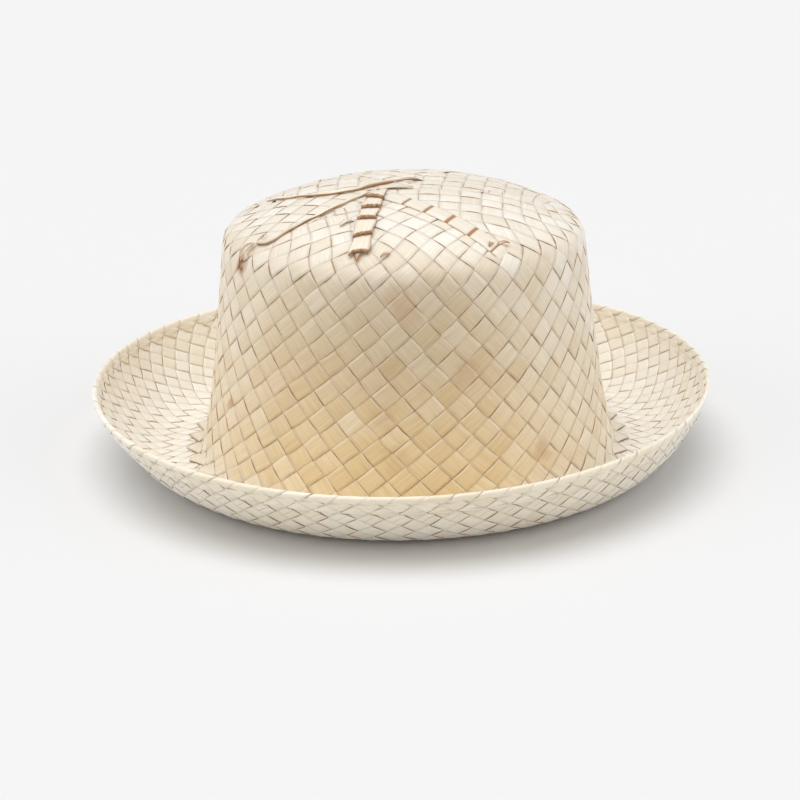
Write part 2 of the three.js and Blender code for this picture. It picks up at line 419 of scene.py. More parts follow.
@dataclass
class StripSet:
    """The strips of one plait, in two families, each with a width, tone and wander of its own."""

    number: int
    style: StripStyle
    seed: int
    width: np.ndarray = field(init=False)
    tone: np.ndarray = field(init=False)
    swing: np.ndarray = field(init=False)

    def __post_init__(self) -> None:
        """Draws each strip's own values from one seeded source."""
        source = np.random.default_rng(self.seed)
        self.width = source.uniform(self.style.narrowest, self.style.widest, (2, self.number))
        self.tone = source.beta(2.2, 2.2, (2, self.number))
        self.swing = source.uniform(0.0, 2.0 * math.pi, (2, self.number))

    def columns(self, family: int, strip: int) -> np.ndarray:
        """Phase across the plait of the four lines of points along a strip."""
        own = strip % self.number
        return strip + 0.5 + 0.5 * ACROSS * self.width[family, own]

    def rows(self, low: np.ndarray, high: np.ndarray) -> np.ndarray:
        """Phases of a strip's rows of points: at the bends of every cell, and even in its slanted ends.

        Args:
            low: Phase where each line of points starts.
            high: Phase where it stops, which may be less.

        Returns:
            Phases along the strip, rows by columns.
        """
        if low.mean() > high.mean():
            return self.rows(high, low)[::-1]
        cells = np.arange(math.floor(low.min()) - 1, math.ceil(high.max()) + 1)
        grid = (cells[:, None] + np.array(self.style.bends)).ravel()
        grid = grid[(grid > low.max() + 0.1) & (grid < high.min() - 0.1)]
        if len(grid) < 2:
            return low + np.linspace(0.0, 1.0, 5)[:, None] * (high - low)
        head = np.arange(max(1, math.ceil((grid[0] - low.min()) * 5)))
        tail = np.arange(max(1, math.ceil((high.max() - grid[-1]) * 5)))
        start = low + (head / len(head))[:, None] * (grid[0] - low)
        stop = grid[-1] + ((tail + 1) / len(tail))[:, None] * (high - grid[-1])
        return np.concatenate([start, grid[:, None] + 0.0 * low, stop])

    def rise(self, family: int, strip: int, along: np.ndarray) -> np.ndarray:
        """How far over or under the middle of the plait a strip lies, from -1 to 1.

        The rise is the sine of pi times the phase along the strip, divided by its own size softened by
        sharpness, so that it has flat tops and quick dives.

        Args:
            family: 0 or 1.
            strip: The strip's number.
            along: Phase along the strip, rows by columns.

        Returns:
            The rise.
        """
        sine = np.sin(math.pi * along)
        flat = sine / np.sqrt(sine * sine + self.style.sharpness) * math.sqrt(1.0 + self.style.sharpness)
        sign = (1.0 if strip % 2 == 0 else -1.0) * (1.0 if family == 0 else -1.0)
        return sign * flat

    def lift(
        self, family: int, strip: int, along: np.ndarray, crimped: np.ndarray | float = 1.0
    ) -> np.ndarray:
        """Height of a strip over the middle of the plait in millimetres, less a small drop at its edges.

        Each cell is crimped a little more or less than the next. Where the plait is not crimped the first
        family lies flat on the second.

        Args:
            family: 0 or 1.
            strip: The strip's number.
            along: Phase along the strip, rows by columns.
            crimped: 1 where the strips weave over and under, 0 where they lie flat.

        Returns:
            Heights in millimetres.
        """
        drop = self.style.edge_drop * (np.abs(ACROSS) > 0.9)
        flat = (0.55 if family == 0 else -0.55) * self.style.thickness
        own = 1.0 + self.style.uneven * (2.0 * self.drawn(family, strip, along, 1.7) - 1.0)
        woven = self.style.crimp * own * self.rise(family, strip, along) - drop
        return crimped * woven + (1.0 - crimped) * flat

    def wander(self, family: int, strip: int, along: np.ndarray) -> np.ndarray:
        """Sideways swing of a strip as a share of its pitch: a slow one, and a tilt in each cell.

        Args:
            family: 0 or 1, the family of strips.
            strip: The strip's number.
            along: Phase along the strip, rows by columns.

        Returns:
            The swing.
        """
        own = strip % self.number
        swing = self.swing[family, own]
        tilt = self.style.tilt * np.sin(math.pi * along + 3.0 * swing) * np.sin(0.37 * along + 5.0 * swing)
        return self.style.wander * np.sin(0.9 * along + swing) + tilt

    def drawn(self, family: int, strip: int, along: np.ndarray, salt: float = 0.0) -> np.ndarray:
        """A number from 0 to 1 for each cell of a strip: the far decimals of a large sine of its place.

        Args:
            family: 0 or 1, the family of strips.
            strip: The strip's number.
            along: Phase along the strip, rows by columns.
            salt: A number that makes the draw differ from others for the same cell.

        Returns:
            The drawn numbers.
        """
        own = strip % self.number
        by_strip, by_cell, by_sine = SCRAMBLE
        cell = np.floor(along)
        wave = np.sin(by_strip * (own + SCRAMBLE_FAMILY * family) + by_cell * cell + salt) * by_sine
        return wave - np.floor(wave)

    def own_tone(self, family: int, strip: int, along: np.ndarray) -> np.ndarray:
        """Tone along a strip from 0 to 1: its own, and one drawn for each cell."""
        own = strip % self.number
        return 0.55 * self.tone[family, own] + 0.45 * self.drawn(family, strip, along)

    def painted_dive_shade(self, family: int, strip: int, along: np.ndarray) -> np.ndarray:
        """Painted shade: how brown a strip is painted where it dives under another, more in some cells than in
        others.

        Args:
            family: 0 or 1, the family of strips.
            strip: The strip's number.
            along: Phase along the strip, rows by columns.

        Returns:
            The stain, 0 for none.
        """
        share = 0.3 + 1.1 * self.drawn(family, strip, along, 4.1) ** 2
        level = smooth_step((0.7 - np.abs(self.rise(family, strip, along))) / 0.5)
        return self.style.dive_shade * share * level


@dataclass(frozen=True)
class Drift:
    """How a plait strays from even rows and columns: angles in radians, lengths in millimetres.

    Stretch times the sine of twice the angle is added to the angle, as is length times lean and the cosine
    of the angle, and twist times length is taken off. Sway rows times the sine of the angle are taken off
    the rows.
    """

    stretch: float = 0.0
    twist: float = 0.0
    lean: float = 0.0
    sway: float = 0.0


@dataclass
class RoundPlait:
    """A diagonal plain weave round the hat, its strips of one width everywhere.

    Strips of the first family keep phase a and those of the second keep phase b. With n cells round, length s
    along the profile and angle t, a is n t / 2 pi + F(s) and b is n t / 2 pi - F(s). F grows by the root of
    1 / w squared less the square of n over the oval's length round, which keeps every strip w wide. The drift
    then strays both. Round the fold, a length along the profile, the strips lie flat for flat_reach. Past it
    the drift runs back, and F is moved so that the turned-over strips lie on the strips behind them. F is 0
    at the length origin.
    """

    form: HatForm
    profile: Profile
    cells_round: int
    pitch: float
    turn: float
    strips: StripSet
    on_crown: bool
    drift: Drift = Drift()
    fold: float = math.inf
    flat_reach: float = 1.7
    origin: float = 0.0
    growth: np.ndarray = field(init=False)

    def __post_init__(self) -> None:
        """Adds up F along the profile, holding its slope where the hat is too narrow for it."""
        mean_round = 2.0 * math.pi * np.maximum(self.profile.radius, 1.0) * (1.0 + self.form.oval) / 2.0
        inside = 1.0 / self.pitch**2 - (self.cells_round / mean_round) ** 2
        slope = np.sqrt(np.maximum(inside, (0.62 / self.pitch) ** 2))
        steps = np.diff(self.profile.length) * (slope[1:] + slope[:-1]) / 2.0
        self.growth = np.concatenate([[0.0], np.cumsum(steps)])
        self.growth -= float(self.reach(self.origin))
        if self.fold < self.profile.length[-1]:
            rows = 2.0 * float(self.reach(self.fold))
            self.growth += (round(rows) - rows) / 2.0

    def reach(self, length: np.ndarray | float) -> np.ndarray:
        """F at a length along the profile."""
        return np.interp(length, self.profile.length, self.growth)

    def strayed(self, length: np.ndarray | float, angle: np.ndarray) -> np.ndarray:
        """What the drift and the turn add to an angle at a length along the profile, in radians.

        Args:
            length: Length along the profile, in millimetres.
            angle: Angle round the axis, in radians.

        Returns:
            Angles in radians.
        """
        drift = self.drift
        sideways = drift.lean * np.cos(angle) - drift.twist
        walked = np.minimum(length, 2.0 * self.fold - length)
        return self.turn + drift.stretch * np.sin(2.0 * angle) + sideways * walked

    def swayed(self, length: np.ndarray | float, angle: np.ndarray) -> np.ndarray:
        """Rows that the drift takes off at an angle, fading to none at the fold."""
        return self.drift.sway * np.sin(angle) * (1.0 - smooth_step(np.asarray(length) / self.fold))

    def phases(self, length: np.ndarray, angle: np.ndarray) -> tuple[np.ndarray, np.ndarray]:
        """Phases a and b of a place on the surface.

        Args:
            length: Length along the profile, in millimetres.
            angle: Angle round the axis, in radians.

        Returns:
            Phase a and phase b.
        """
        around = self.cells_round * (angle + self.strayed(length, angle)) / (2.0 * math.pi)
        rows = self.reach(length) - self.swayed(length, angle)
        return around + rows, around - rows

    def locate(self, first: np.ndarray, second: np.ndarray) -> tuple[np.ndarray, np.ndarray]:
        """Length along the profile and angle at phases a and b, found in rounds that take off the drift.

        Args:
            first: Phase a.
            second: Phase b.

        Returns:
            Length along the profile and angle.
        """
        whole = math.pi * (first + second) / self.cells_round
        rows = (first - second) / 2.0
        angle = whole - self.turn
        length = np.interp(rows, self.growth, self.profile.length)
        for _ in range(LOCATE_ROUNDS):
            length = np.interp(rows + self.swayed(length, angle), self.growth, self.profile.length)
            angle = whole - self.strayed(length, angle)
        return length, angle

    def place(self, length: np.ndarray, angle: np.ndarray, lift: np.ndarray) -> np.ndarray:
        """Points in metres at a length and angle, lifted along the surface's normal by lift millimetres.

        Args:
            length: Length along the profile, in millimetres.
            angle: Angle round the axis, in radians.
            lift: Distance along the surface's normal, in millimetres.

        Returns:
            The points.
        """
        radius, height = self.profile.at(length, lift)
        carry = self.form.on_crown if self.on_crown else self.form.on_brim
        return carry(radius, height, angle)

    def laid(
        self, length: np.ndarray, angle: np.ndarray, lift: np.ndarray
    ) -> tuple[np.ndarray, np.ndarray]:
        """A sheet of points at a length, angle and lift, and vectors that look out from it."""
        sheet = self.place(length, angle, lift)
        return sheet, self.place(length, angle, lift + 1.0) - sheet

    def crimped(self, length: np.ndarray) -> np.ndarray:
        """1 where the strips weave over and under, easing to 0 where they lie flat round the fold."""
        return smooth_step((np.abs(length - self.fold) - self.flat_reach) / 1.6)

    def hidden_cut(self, family: int, strip: int, length: float) -> float:
        """Phase along a strip of the middle of the cell nearest to length where it lies under another.

        Args:
            family: 0 or 1, the family of strips.
            strip: The strip's number.
            length: Length along the profile, in millimetres.

        Returns:
            The phase.
        """
        wanted = float(self.limits(family, np.array([strip + 0.5]), length)[0])
        parity = (strip + 1) % 2 if family == 0 else strip % 2
        cell = 2 * round((wanted - 0.5 - parity) / 2.0) + parity
        return cell + 0.5

    def limits(self, family: int, columns: np.ndarray, length: float) -> np.ndarray:
        """Phase along a strip where each of its lines of points meets the ring at that length.

        Args:
            family: 0 or 1, the family of strips.
            columns: Phase across the plait of the strip's lines of points.
            length: Length along the profile, in millimetres.

        Returns:
            The phases, one for each line of points.
        """
        sign = 1.0 if family == 0 else -1.0
        angle = 2.0 * math.pi * columns / self.cells_round - self.turn
        for _ in range(LOCATE_ROUNDS):
            rows = self.reach(length) - self.swayed(length, angle)
            angle = 2.0 * math.pi * (columns - sign * rows) / self.cells_round - self.strayed(length, angle)
        rows = self.reach(length) - self.swayed(length, angle)
        return columns - 2.0 * sign * rows

    def lay(self, mesh: StrawMesh, start: float, stop: float, cut_stop: bool, toothed: bool = False) -> None:
        """Lays every strip between two rings of the profile.

        Args:
            mesh: The mesh that takes the strips.
            start: Length along the profile where the strips start, in millimetres.
            stop: Length where they stop.
            cut_stop: Whether they stop under a crossing strip, where another piece carries on.
            toothed: Whether the first ends in whole cells centred on the starting ring, with the second
                family's ends hidden under them.
        """
        for family in (0, 1):
            for strip in range(self.cells_round):
                columns = self.strips.columns(family, strip)
                low = self.limits(family, columns, start)
                high = self.limits(family, columns, stop)
                if cut_stop:
                    high = np.full(4, self.hidden_cut(family, strip, stop))
                if toothed:
                    low = np.full(4, strip + 1.0 if family == 0 else self.hidden_cut(family, strip, start))
                self.lay_strip(mesh, family, strip, columns, self.strips.rows(low, high))

    def lay_rings(self, mesh: StrawMesh, start: float, rings: np.ndarray) -> None:
        """Lays every strip on from under a crossing one near start, its rows along rings of the profile.

        Args:
            mesh: The mesh that takes the strips.
            start: Length along the profile where another piece leaves off, in millimetres.
            rings: Lengths of the rings, the first one more than half a cell past start.
        """
        for family in (0, 1):
            for strip in range(self.cells_round):
                columns = self.strips.columns(family, strip)
                cut = self.hidden_cut(family, strip, start)
                around = np.stack([self.limits(family, columns, ring) for ring in rings])
                number = max(2, math.ceil(float(np.abs(around[0] - cut).max()) * 7))
                head = cut + np.linspace(0.0, 1.0, number + 1)[:-1, None] * (around[0] - cut)
                self.lay_strip(mesh, family, strip, columns, np.concatenate([head, around]))

    def lay_strip(
        self, mesh: StrawMesh, family: int, strip: int, columns: np.ndarray, along: np.ndarray
    ) -> None:
        """Lays one strip with its rows at the phases along, its dives painted brown as shade, more for one
        family on each side.

        Args:
            mesh: The mesh that takes it.
            family: 0 or 1, the family of strips.
            strip: The strip's number.
            columns: Phase across the plait of the strip's lines of points.
            along: Phase along the strip, rows by columns.
        """
        across = columns + self.strips.wander(family, strip, along)
        first, second = (across, along) if family == 0 else (along, across)
        length, angle = self.locate(first, second)
        lift = self.strips.lift(family, strip, along, self.crimped(length))
        sheet, outward = self.laid(length, angle, lift)
        own = strip % self.cells_round
        fibre = layered(along, along * self.pitch, ACROSS, own + FAMILY_STEP * family)
        # painted shade: the dives are painted brown, more for one family on each side of the hat
        leaning = np.tanh(sheet[..., 0] / 0.02) * (1.0 if family == 0 else -1.0)
        browning = self.strips.painted_dive_shade(family, strip, along) * self.crimped(length) * (0.95 + 0.3 * leaning)
        straw = straw_look(self.on_crown, sheet, self.strips.own_tone(family, strip, along), browning)
        mesh.add(sheet, fibre, straw, outward[len(along) // 2, 1])


@dataclass(frozen=True)
class WearSheenAndShade:
    """How warm the straw has gone by its place, and painted sheen and shade on the crown: heights and places
    in metres, the rest shares.
    """

    spread: float = 0.4
    crown_heights: tuple[float, ...] = (0.003, 0.012, 0.05, 0.085, 0.098, 0.106)
    crown_ages: tuple[float, ...] = (0.4, 1.0, 0.8, 0.55, 0.3, 0.12)
    # painted sheen pales the crown's right and left sides; painted shade darkens its front
    right_painted_sheen: float = 0.5
    left_painted_sheen: float = 0.3
    front_half: float = 0.055
    front_painted_shade: float = 1.8
    brim_age: float = 0.05
    curl_age: float = 0.36
    front_age: float = 0.5


WEAR_SHEEN_AND_SHADE = WearSheenAndShade()
BROWNER = (
    (-1.0, -85.0, 90.0, 4.5, 0.24),
    (4.0, -86.0, 82.0, 4.5, 0.2),
    (26.0, -85.0, 58.0, 4.6, 0.26),
    (-8.0, -91.0, 41.0, 4.8, 0.18),
    (57.0, -74.0, 21.0, 4.4, 0.34),
    (-2.0, -94.0, 24.0, 5.2, 0.16),
    (-71.0, -45.0, 34.0, 2.2, 0.6),
)


def straw_look(on_crown: bool, sheet: np.ndarray, tone: np.ndarray, browning: np.ndarray) -> np.ndarray:
    """Tone, age and browning of a sheet of straw: how warm it has gone is its age, which follows its place,
    with painted sheen and shade on the crown.

    On the crown age falls in straight runs with height and eases off to both sides as a painted sheen, and
    the front is darkened between the foot and the shoulder as painted shade; each place in BROWNER, a point
    and a radius in millimetres, adds its stain to the straws round it. On the brim age grows, in eased steps,
    with height, towards the back and at the very front. Dull straws are a little older than bright ones.

    Args:
        on_crown: Whether the sheet is on the crown.
        sheet: Points in metres.
        tone: The straw's tone from 0 to 1.
        browning: How brown it is from 0 to 1, from stains and painted shade.

    Returns:
        Tone, age and stain, from 0 to 1.
    """
    x, y, height = sheet[..., 0], sheet[..., 1], sheet[..., 2]
    spread = WEAR_SHEEN_AND_SHADE.spread * (0.5 - tone)
    if on_crown:
        age = np.interp(height, WEAR_SHEEN_AND_SHADE.crown_heights, WEAR_SHEEN_AND_SHADE.crown_ages)
        # painted sheen: age eases off to both sides, so that the sides are paler as if lit at a glancing angle
        right = WEAR_SHEEN_AND_SHADE.right_painted_sheen * smooth_step((x - 0.02) / 0.06)
        left = WEAR_SHEEN_AND_SHADE.left_painted_sheen * smooth_step((-x - 0.03) / 0.05)
        age = age * (1.0 - right - left)
        # painted shade: the tone of the front is lowered between the foot and the shoulder, so that it is
        # darker there
        front = np.exp(-((x / WEAR_SHEEN_AND_SHADE.front_half) ** 2)) * smooth_step(-y / 0.06)
        raised = smooth_step((height - 0.03) / 0.035) * (1.0 - smooth_step((height - 0.096) / 0.009))
        tone = tone - WEAR_SHEEN_AND_SHADE.front_painted_shade * front * raised
        for place_x, place_y, place_z, radius, brown in BROWNER:
            away = np.linalg.norm(sheet / MM - np.array([place_x, place_y, place_z]), axis=-1) / radius
            browning = np.maximum(browning, brown * smooth_step((1.25 - away) / 0.4))
    else:
        back = smooth_step((y + 0.05) / 0.17)
        age = WEAR_SHEEN_AND_SHADE.brim_age + WEAR_SHEEN_AND_SHADE.curl_age * smooth_step((height - 0.008) / 0.02) * (0.4 + 0.6 * back)
        age = age + WEAR_SHEEN_AND_SHADE.front_age * smooth_step((-y - 0.05) / 0.06)
    return np.stack([tone, np.clip(age + spread, 0.0, 1.0), browning], -1)


@dataclass(frozen=True)
class Sector:
    """A wedge of the tip woven square: its sides as plan points from the centre out, and its heading."""

    start: tuple[tuple[float, float], ...]
    stop: tuple[tuple[float, float], ...]
    heading: float


@dataclass
class TipPlait:
    """The tip's plait: square woven wedges that meet at folds and bend into the side's diagonal weave.

    A place on the tip is u, its angle round the axis with its length from the top of the tip as radius.
    Phase a there is the side's own near the shoulder, and the distance along the wedge's heading over the
    pitch near the centre, with an eased step between. Phase b is the same a quarter turn less.
    """

    form: HatForm
    side: RoundPlait
    pitch: float
    centre: tuple[float, float]
    blend_start: float
    blend_stop: float
    cut: float
    overlap: float
    ring_past_cut: float = 8.0
    ring_half: float = 6.0
    outer_from: float = 40.0
    past_shoulder: float = 16.0
    step: float = 1.0 / 6.0
    most_miss: float = 0.02
    most_jump: float = 4.0
    end_reach: float = 0.8

    def plan(self, u: np.ndarray) -> np.ndarray:
        """Plan place in millimetres from the crown's axis, on which the wedges are woven square."""
        return u * np.array([1.0, self.form.oval])

    def side_of(self, u: np.ndarray, line: tuple[tuple[float, float], ...]) -> np.ndarray:
        """Distance of u in millimetres to the left of a line of plan points that runs out from the centre.

        Args:
            u: Places on the tip, with a last axis of 2.
            line: Plan points from the centre out.

        Returns:
            Distances in millimetres, less than 0 to the right.
        """
        centre = np.array(self.centre)
        points = np.array(line) - centre
        reach = np.hypot(points[:, 0], points[:, 1])
        turn = np.unwrap(np.arctan2(points[:, 1], points[:, 0]))
        away = self.plan(u) - centre
        distance = np.hypot(away[..., 0], away[..., 1])
        angle = np.arctan2(away[..., 1], away[..., 0]) - np.interp(distance, reach, turn)
        angle = (angle + math.pi) % (2.0 * math.pi) - math.pi
        return distance * np.sin(np.clip(angle, -math.pi / 2, math.pi / 2))

    def inside(self, sector: Sector, u: np.ndarray) -> np.ndarray:
        """Whether u is in a wedge, widened by overlap on both sides.

        Args:
            sector: The wedge.
            u: Places on the tip, with a last axis of 2.

        Returns:
            True for each place in the wedge.
        """
        left = self.side_of(u, sector.start) > -self.overlap
        right = self.side_of(u, sector.stop) < self.overlap
        return left & right

    def phases(self, sector: Sector, u: np.ndarray, offset: np.ndarray, middle: float) -> np.ndarray:
        """Phases a and b at u in a wedge.

        Args:
            sector: The wedge.
            u: Places, with a last axis of 2.
            offset: What the wedge's square phases are moved by, so that they meet the side's.
            middle: The wedge's middle angle, from which angles are counted.

        Returns:
            Phases, with a last axis of 2.
        """
        distance = np.hypot(u[..., 0], u[..., 1])
        angle = np.arctan2(u[..., 1], u[..., 0])
        angle = middle + (angle - middle + math.pi) % (2.0 * math.pi) - math.pi
        length = self.side.profile.length[-1] - distance
        side = np.stack(self.side.phases(length, angle), -1)
        square = self.square(sector, u) + offset
        share = smooth_step((length - self.blend_start) / (self.blend_stop - self.blend_start))[..., None]
        return side + share * (square - side)

    def square(self, sector: Sector, u: np.ndarray) -> np.ndarray:
        """Square phases: plan distance along the heading and along a quarter turn less, over the pitch.

        Args:
            sector: The wedge.
            u: Places on the tip, with a last axis of 2.

        Returns:
            Phases, with a last axis of 2.
        """
        heading = math.radians(sector.heading)
        along = np.array([[math.cos(heading), math.sin(heading)], [math.sin(heading), -math.cos(heading)]])
        return self.plan(u) @ along.T / self.pitch

    def samples(self, sector: Sector) -> np.ndarray:
        """A spread of places over a wedge and a little past its shoulder end.

        Args:
            sector: The wedge.

        Returns:
            Places, with a last axis of 2.
        """
        length = self.side.profile.length[-1]
        distance, angle = np.meshgrid(
            np.linspace(0.5, length - self.cut + self.past_shoulder, 60),
            np.linspace(-math.pi, math.pi, 181)[:-1],
        )
        u = np.stack([distance * np.cos(angle), distance * np.sin(angle)], -1).reshape(-1, 2)
        return u[self.inside(sector, u)]

    def solve(
        self, sector: Sector, target: np.ndarray, offset: np.ndarray, middle: float
    ) -> tuple[np.ndarray, np.ndarray]:
        """Finds the places that have the given phases, from the nearest sample on, by Newton's method.

        Args:
            sector: The wedge.
            target: Phases, with a last axis of 2.
            offset: What the wedge's square phases are moved by.
            middle: The wedge's middle angle.

        Returns:
            The places and how far off each one's phases still are.
        """
        known = self.samples(sector)
        known_phases = self.phases(sector, known, offset, middle)
        flat = target.reshape(-1, 2)
        gap = ((flat[:, None, :] - known_phases[None]) ** 2).sum(-1)
        u = known[gap.argmin(1)].reshape(target.shape)
        step = 0.05
        for _ in range(LOCATE_ROUNDS):
            here = self.phases(sector, u, offset, middle)
            right = (self.phases(sector, u + [step, 0.0], offset, middle) - here) / step
            ahead = (self.phases(sector, u + [0.0, step], offset, middle) - here) / step
            miss = target - here
            spread = right[..., 0] * ahead[..., 1] - right[..., 1] * ahead[..., 0]
            spread = np.where(np.abs(spread) < 1e-4, 1e-4, spread)
            move = np.stack(
                [
                    (miss[..., 0] * ahead[..., 1] - miss[..., 1] * ahead[..., 0]) / spread,
                    (miss[..., 1] * right[..., 0] - miss[..., 0] * right[..., 1]) / spread,
                ],
                -1,
            )
            u = u + np.clip(move, -3.0, 3.0)
        miss = np.abs(self.phases(sector, u, offset, middle) - target).max(-1)
        return u, miss

    def point(self, u: np.ndarray, lift: np.ndarray) -> np.ndarray:
        """Points in metres on the tip at places u, lifted along the normal by lift millimetres.

        Args:
            u: Places on the tip, with a last axis of 2.
            lift: Distance along the surface's normal, in millimetres.

        Returns:
            The points.
        """
        distance = np.hypot(u[..., 0], u[..., 1])
        angle = np.arctan2(u[..., 1], u[..., 0])
        radius, height = self.side.profile.at(self.side.profile.length[-1] - distance, lift)
        return self.form.on_crown(radius, height, angle)

    def lay(self, mesh: StrawMesh, sector: Sector) -> None:
        """Lays both families of a wedge's strips, each from where it enters the wedge to where it leaves.

        Args:
            mesh: The mesh that takes the strips.
            sector: The wedge.
        """
        known = self.samples(sector)
        outer = known[np.hypot(known[:, 0], known[:, 1]) > self.outer_from].mean(0)
        middle = math.atan2(outer[1], outer[0])
        past_cut = self.side.profile.length[-1] - np.hypot(known[:, 0], known[:, 1]) - self.cut
        ring = known[np.abs(past_cut - self.ring_past_cut) < self.ring_half]
        angle = middle + (np.arctan2(ring[:, 1], ring[:, 0]) - middle + math.pi) % (2.0 * math.pi) - math.pi
        length = self.side.profile.length[-1] - np.hypot(ring[:, 0], ring[:, 1])
        side = np.stack(self.side.phases(length, angle), -1)
        offset = (side - self.square(sector, ring)).mean(0)
        values = self.phases(sector, known, offset, middle)
        for family in (0, 1):
            across_range = values[:, family]
            along_range = values[:, 1 - family]
            along = np.arange(math.floor(along_range.min()) - 1.0, along_range.max() + 1.0, self.step)
            for strip in range(math.floor(across_range.min()), math.ceil(across_range.max())):
                self.lay_strip(mesh, sector, family, strip, along, offset, middle)

    def lay_strip(
        self,
        mesh: StrawMesh,
        sector: Sector,
        family: int,
        strip: int,
        along: np.ndarray,
        offset: np.ndarray,
        middle: float,
    ) -> None:
        """Lays one strip of a wedge, cut along the wedge's sides and at the side plait's last hidden cell.

        Args:
            mesh: The mesh that takes it.
            sector: The wedge.
            family: 0 or 1, the family of strips.
            strip: The strip's number.
            along: Phase along the strip, rows by columns.
            offset: What the wedge's square phases are moved by.
            middle: The wedge's middle angle.
        """
        strips = self.side.strips
        columns = strips.columns(family, strip)
        grid_along = along[:, None] + np.zeros(4)
        grid_across = columns + np.zeros((len(along), 1)) + strips.wander(family, strip, grid_along)
        pair = (grid_across, grid_along) if family == 0 else (grid_along, grid_across)
        u, miss = self.solve(sector, np.stack(pair, -1), offset, middle)
        cut = self.side.hidden_cut(family, strip, self.cut)
        below = grid_along <= cut + 1e-6 if family == 0 else grid_along >= cut - 1e-6
        jump = np.linalg.norm(np.diff(u, axis=0, prepend=u[:1]), axis=-1)
        good = (miss < self.most_miss) & self.inside(sector, u) & below & (jump < self.most_jump)
        good &= np.hypot(u[..., 0], u[..., 1]) > 1.0
        core = good[:, 1] & good[:, 2]
        edges = np.flatnonzero(np.diff(np.concatenate([[0], core.astype(int), [0]])))
        if len(edges) == 0:
            return
        runs = edges.reshape(-1, 2)
        first, last = runs[(runs[:, 1] - runs[:, 0]).argmax()]
        if last - first < 3:
            return
        low = np.full(4, along[first])
        high = np.full(4, along[last - 1])
        for column in (0, 3):
            rows = np.flatnonzero(good[first:last, column])
            if len(rows):
                low[column] = along[first + rows[0]]
                high[column] = along[first + rows[-1]]
        low = np.clip(low, along[first], along[first] + self.end_reach)
        high = np.clip(high, along[last - 1] - self.end_reach, along[last - 1])
        if family == 0 and cut - along[last - 1] < self.step:
            high[:] = cut
        if family == 1 and along[first] - cut < self.step:
            low[:] = cut
        place_along = strips.rows(low, high)
        places = np.stack(
            [
                np.stack([np.interp(place_along[:, c], along, u[:, c, axis]) for c in range(4)], -1)
                for axis in (0, 1)
            ],
            -1,
        )
        lift = strips.lift(family, strip, place_along)
        sheet = self.point(places, lift)
        outward = self.point(places, lift + 1.0) - sheet
        own = strip % self.side.cells_round
        fibre = layered(place_along, place_along * self.pitch, ACROSS, own + FAMILY_STEP * family)
        tone = strips.own_tone(family, strip, place_along)
        # the dive browning is painted shade where a strip dives under the crossing one
        straw = straw_look(True, sheet, tone, strips.painted_dive_shade(family, strip, place_along))
        mesh.add(sheet, fibre, straw, outward[len(place_along) // 2, 1])


def linear(red: float, green: float, blue: float) -> tuple[float, float, float, float]:
    """Turns a colour as a screen shows it, from 0 to 255, into the linear colour that a shader takes.

    Args:
        red: Red from 0 to 255.
        green: Green from 0 to 255.
        blue: Blue from 0 to 255.

    Returns:
        Linear red, green and blue, and 1 for alpha.
    """
    shown = np.array([red, green, blue]) / 255.0
    value = np.where(shown <= 0.04045, shown / 12.92, ((shown + 0.055) / 1.055) ** 2.4)
    return (*value.tolist(), 1.0)


class Nodes:
    """Adds nodes to a tree and joins them, with few words."""

    def __init__(self, tree: bpy.types.NodeTree) -> None:
        """Keeps the tree."""
        self.tree = tree

    def add(self, kind: str, **inputs: object) -> bpy.types.Node:
        """Adds a node and sets or joins its inputs, named with underscores for spaces.

        Args:
            kind: The node's type name without its Shader prefix where that is ShaderNode.
            inputs: Values or output sockets, or the node's own properties.

        Returns:
            The node.
        """
        node = self.tree.nodes.new(kind if kind.startswith("NodeGroup") else "ShaderNode" + kind)
        for key, value in inputs.items():
            if hasattr(node, key) and not isinstance(value, bpy.types.NodeSocket):
                setattr(node, key, value)
                continue
            name = key.replace("_", " ")
            socket = node.inputs[int(key[1:])] if key[0] == "i" and key[1:].isdigit() else node.inputs[name]
            if isinstance(value, bpy.types.NodeSocket):
                self.tree.links.new(value, socket)
            else:
                socket.default_value = value
        return node

    def math(self, operation: str, first: object, second: object = 0.0) -> bpy.types.NodeSocket:
        """Adds a Math node and returns its value."""
        return self.add("Math", operation=operation, i0=first, i1=second).outputs[0]

    def mix(self, share: object, first: object, second: object, blend: str = "MIX") -> bpy.types.NodeSocket:
        """Adds a colour Mix node and returns its result.

        Args:
            share: How much of the second colour shows.
            first: The first colour or its socket.
            second: The second colour or its socket.
            blend: How the two are blended.

        Returns:
            The colour's socket.
        """
        node = self.tree.nodes.new("ShaderNodeMix")
        node.data_type = "RGBA"
        node.blend_type = blend
        for index, value in ((0, share), (6, first), (7, second)):
            if isinstance(value, bpy.types.NodeSocket):
                self.tree.links.new(value, node.inputs[index])
            else:
                node.inputs[index].default_value = value
        return node.outputs[2]

    def ease(self, value: object, low: float, high: float) -> bpy.types.NodeSocket:
        """Adds a smooth Map Range from low and high to 0 and 1.

        Args:
            value: The socket to ease.
            low: Value that becomes 0.
            high: Value that becomes 1.

        Returns:
            The eased value's socket.
        """
        node = self.add("MapRange", interpolation_type="SMOOTHSTEP")
        self.tree.links.new(value, node.inputs["Value"])
        node.inputs["From Min"].default_value = low
        node.inputs["From Max"].default_value = high
        return node.outputs["Result"]


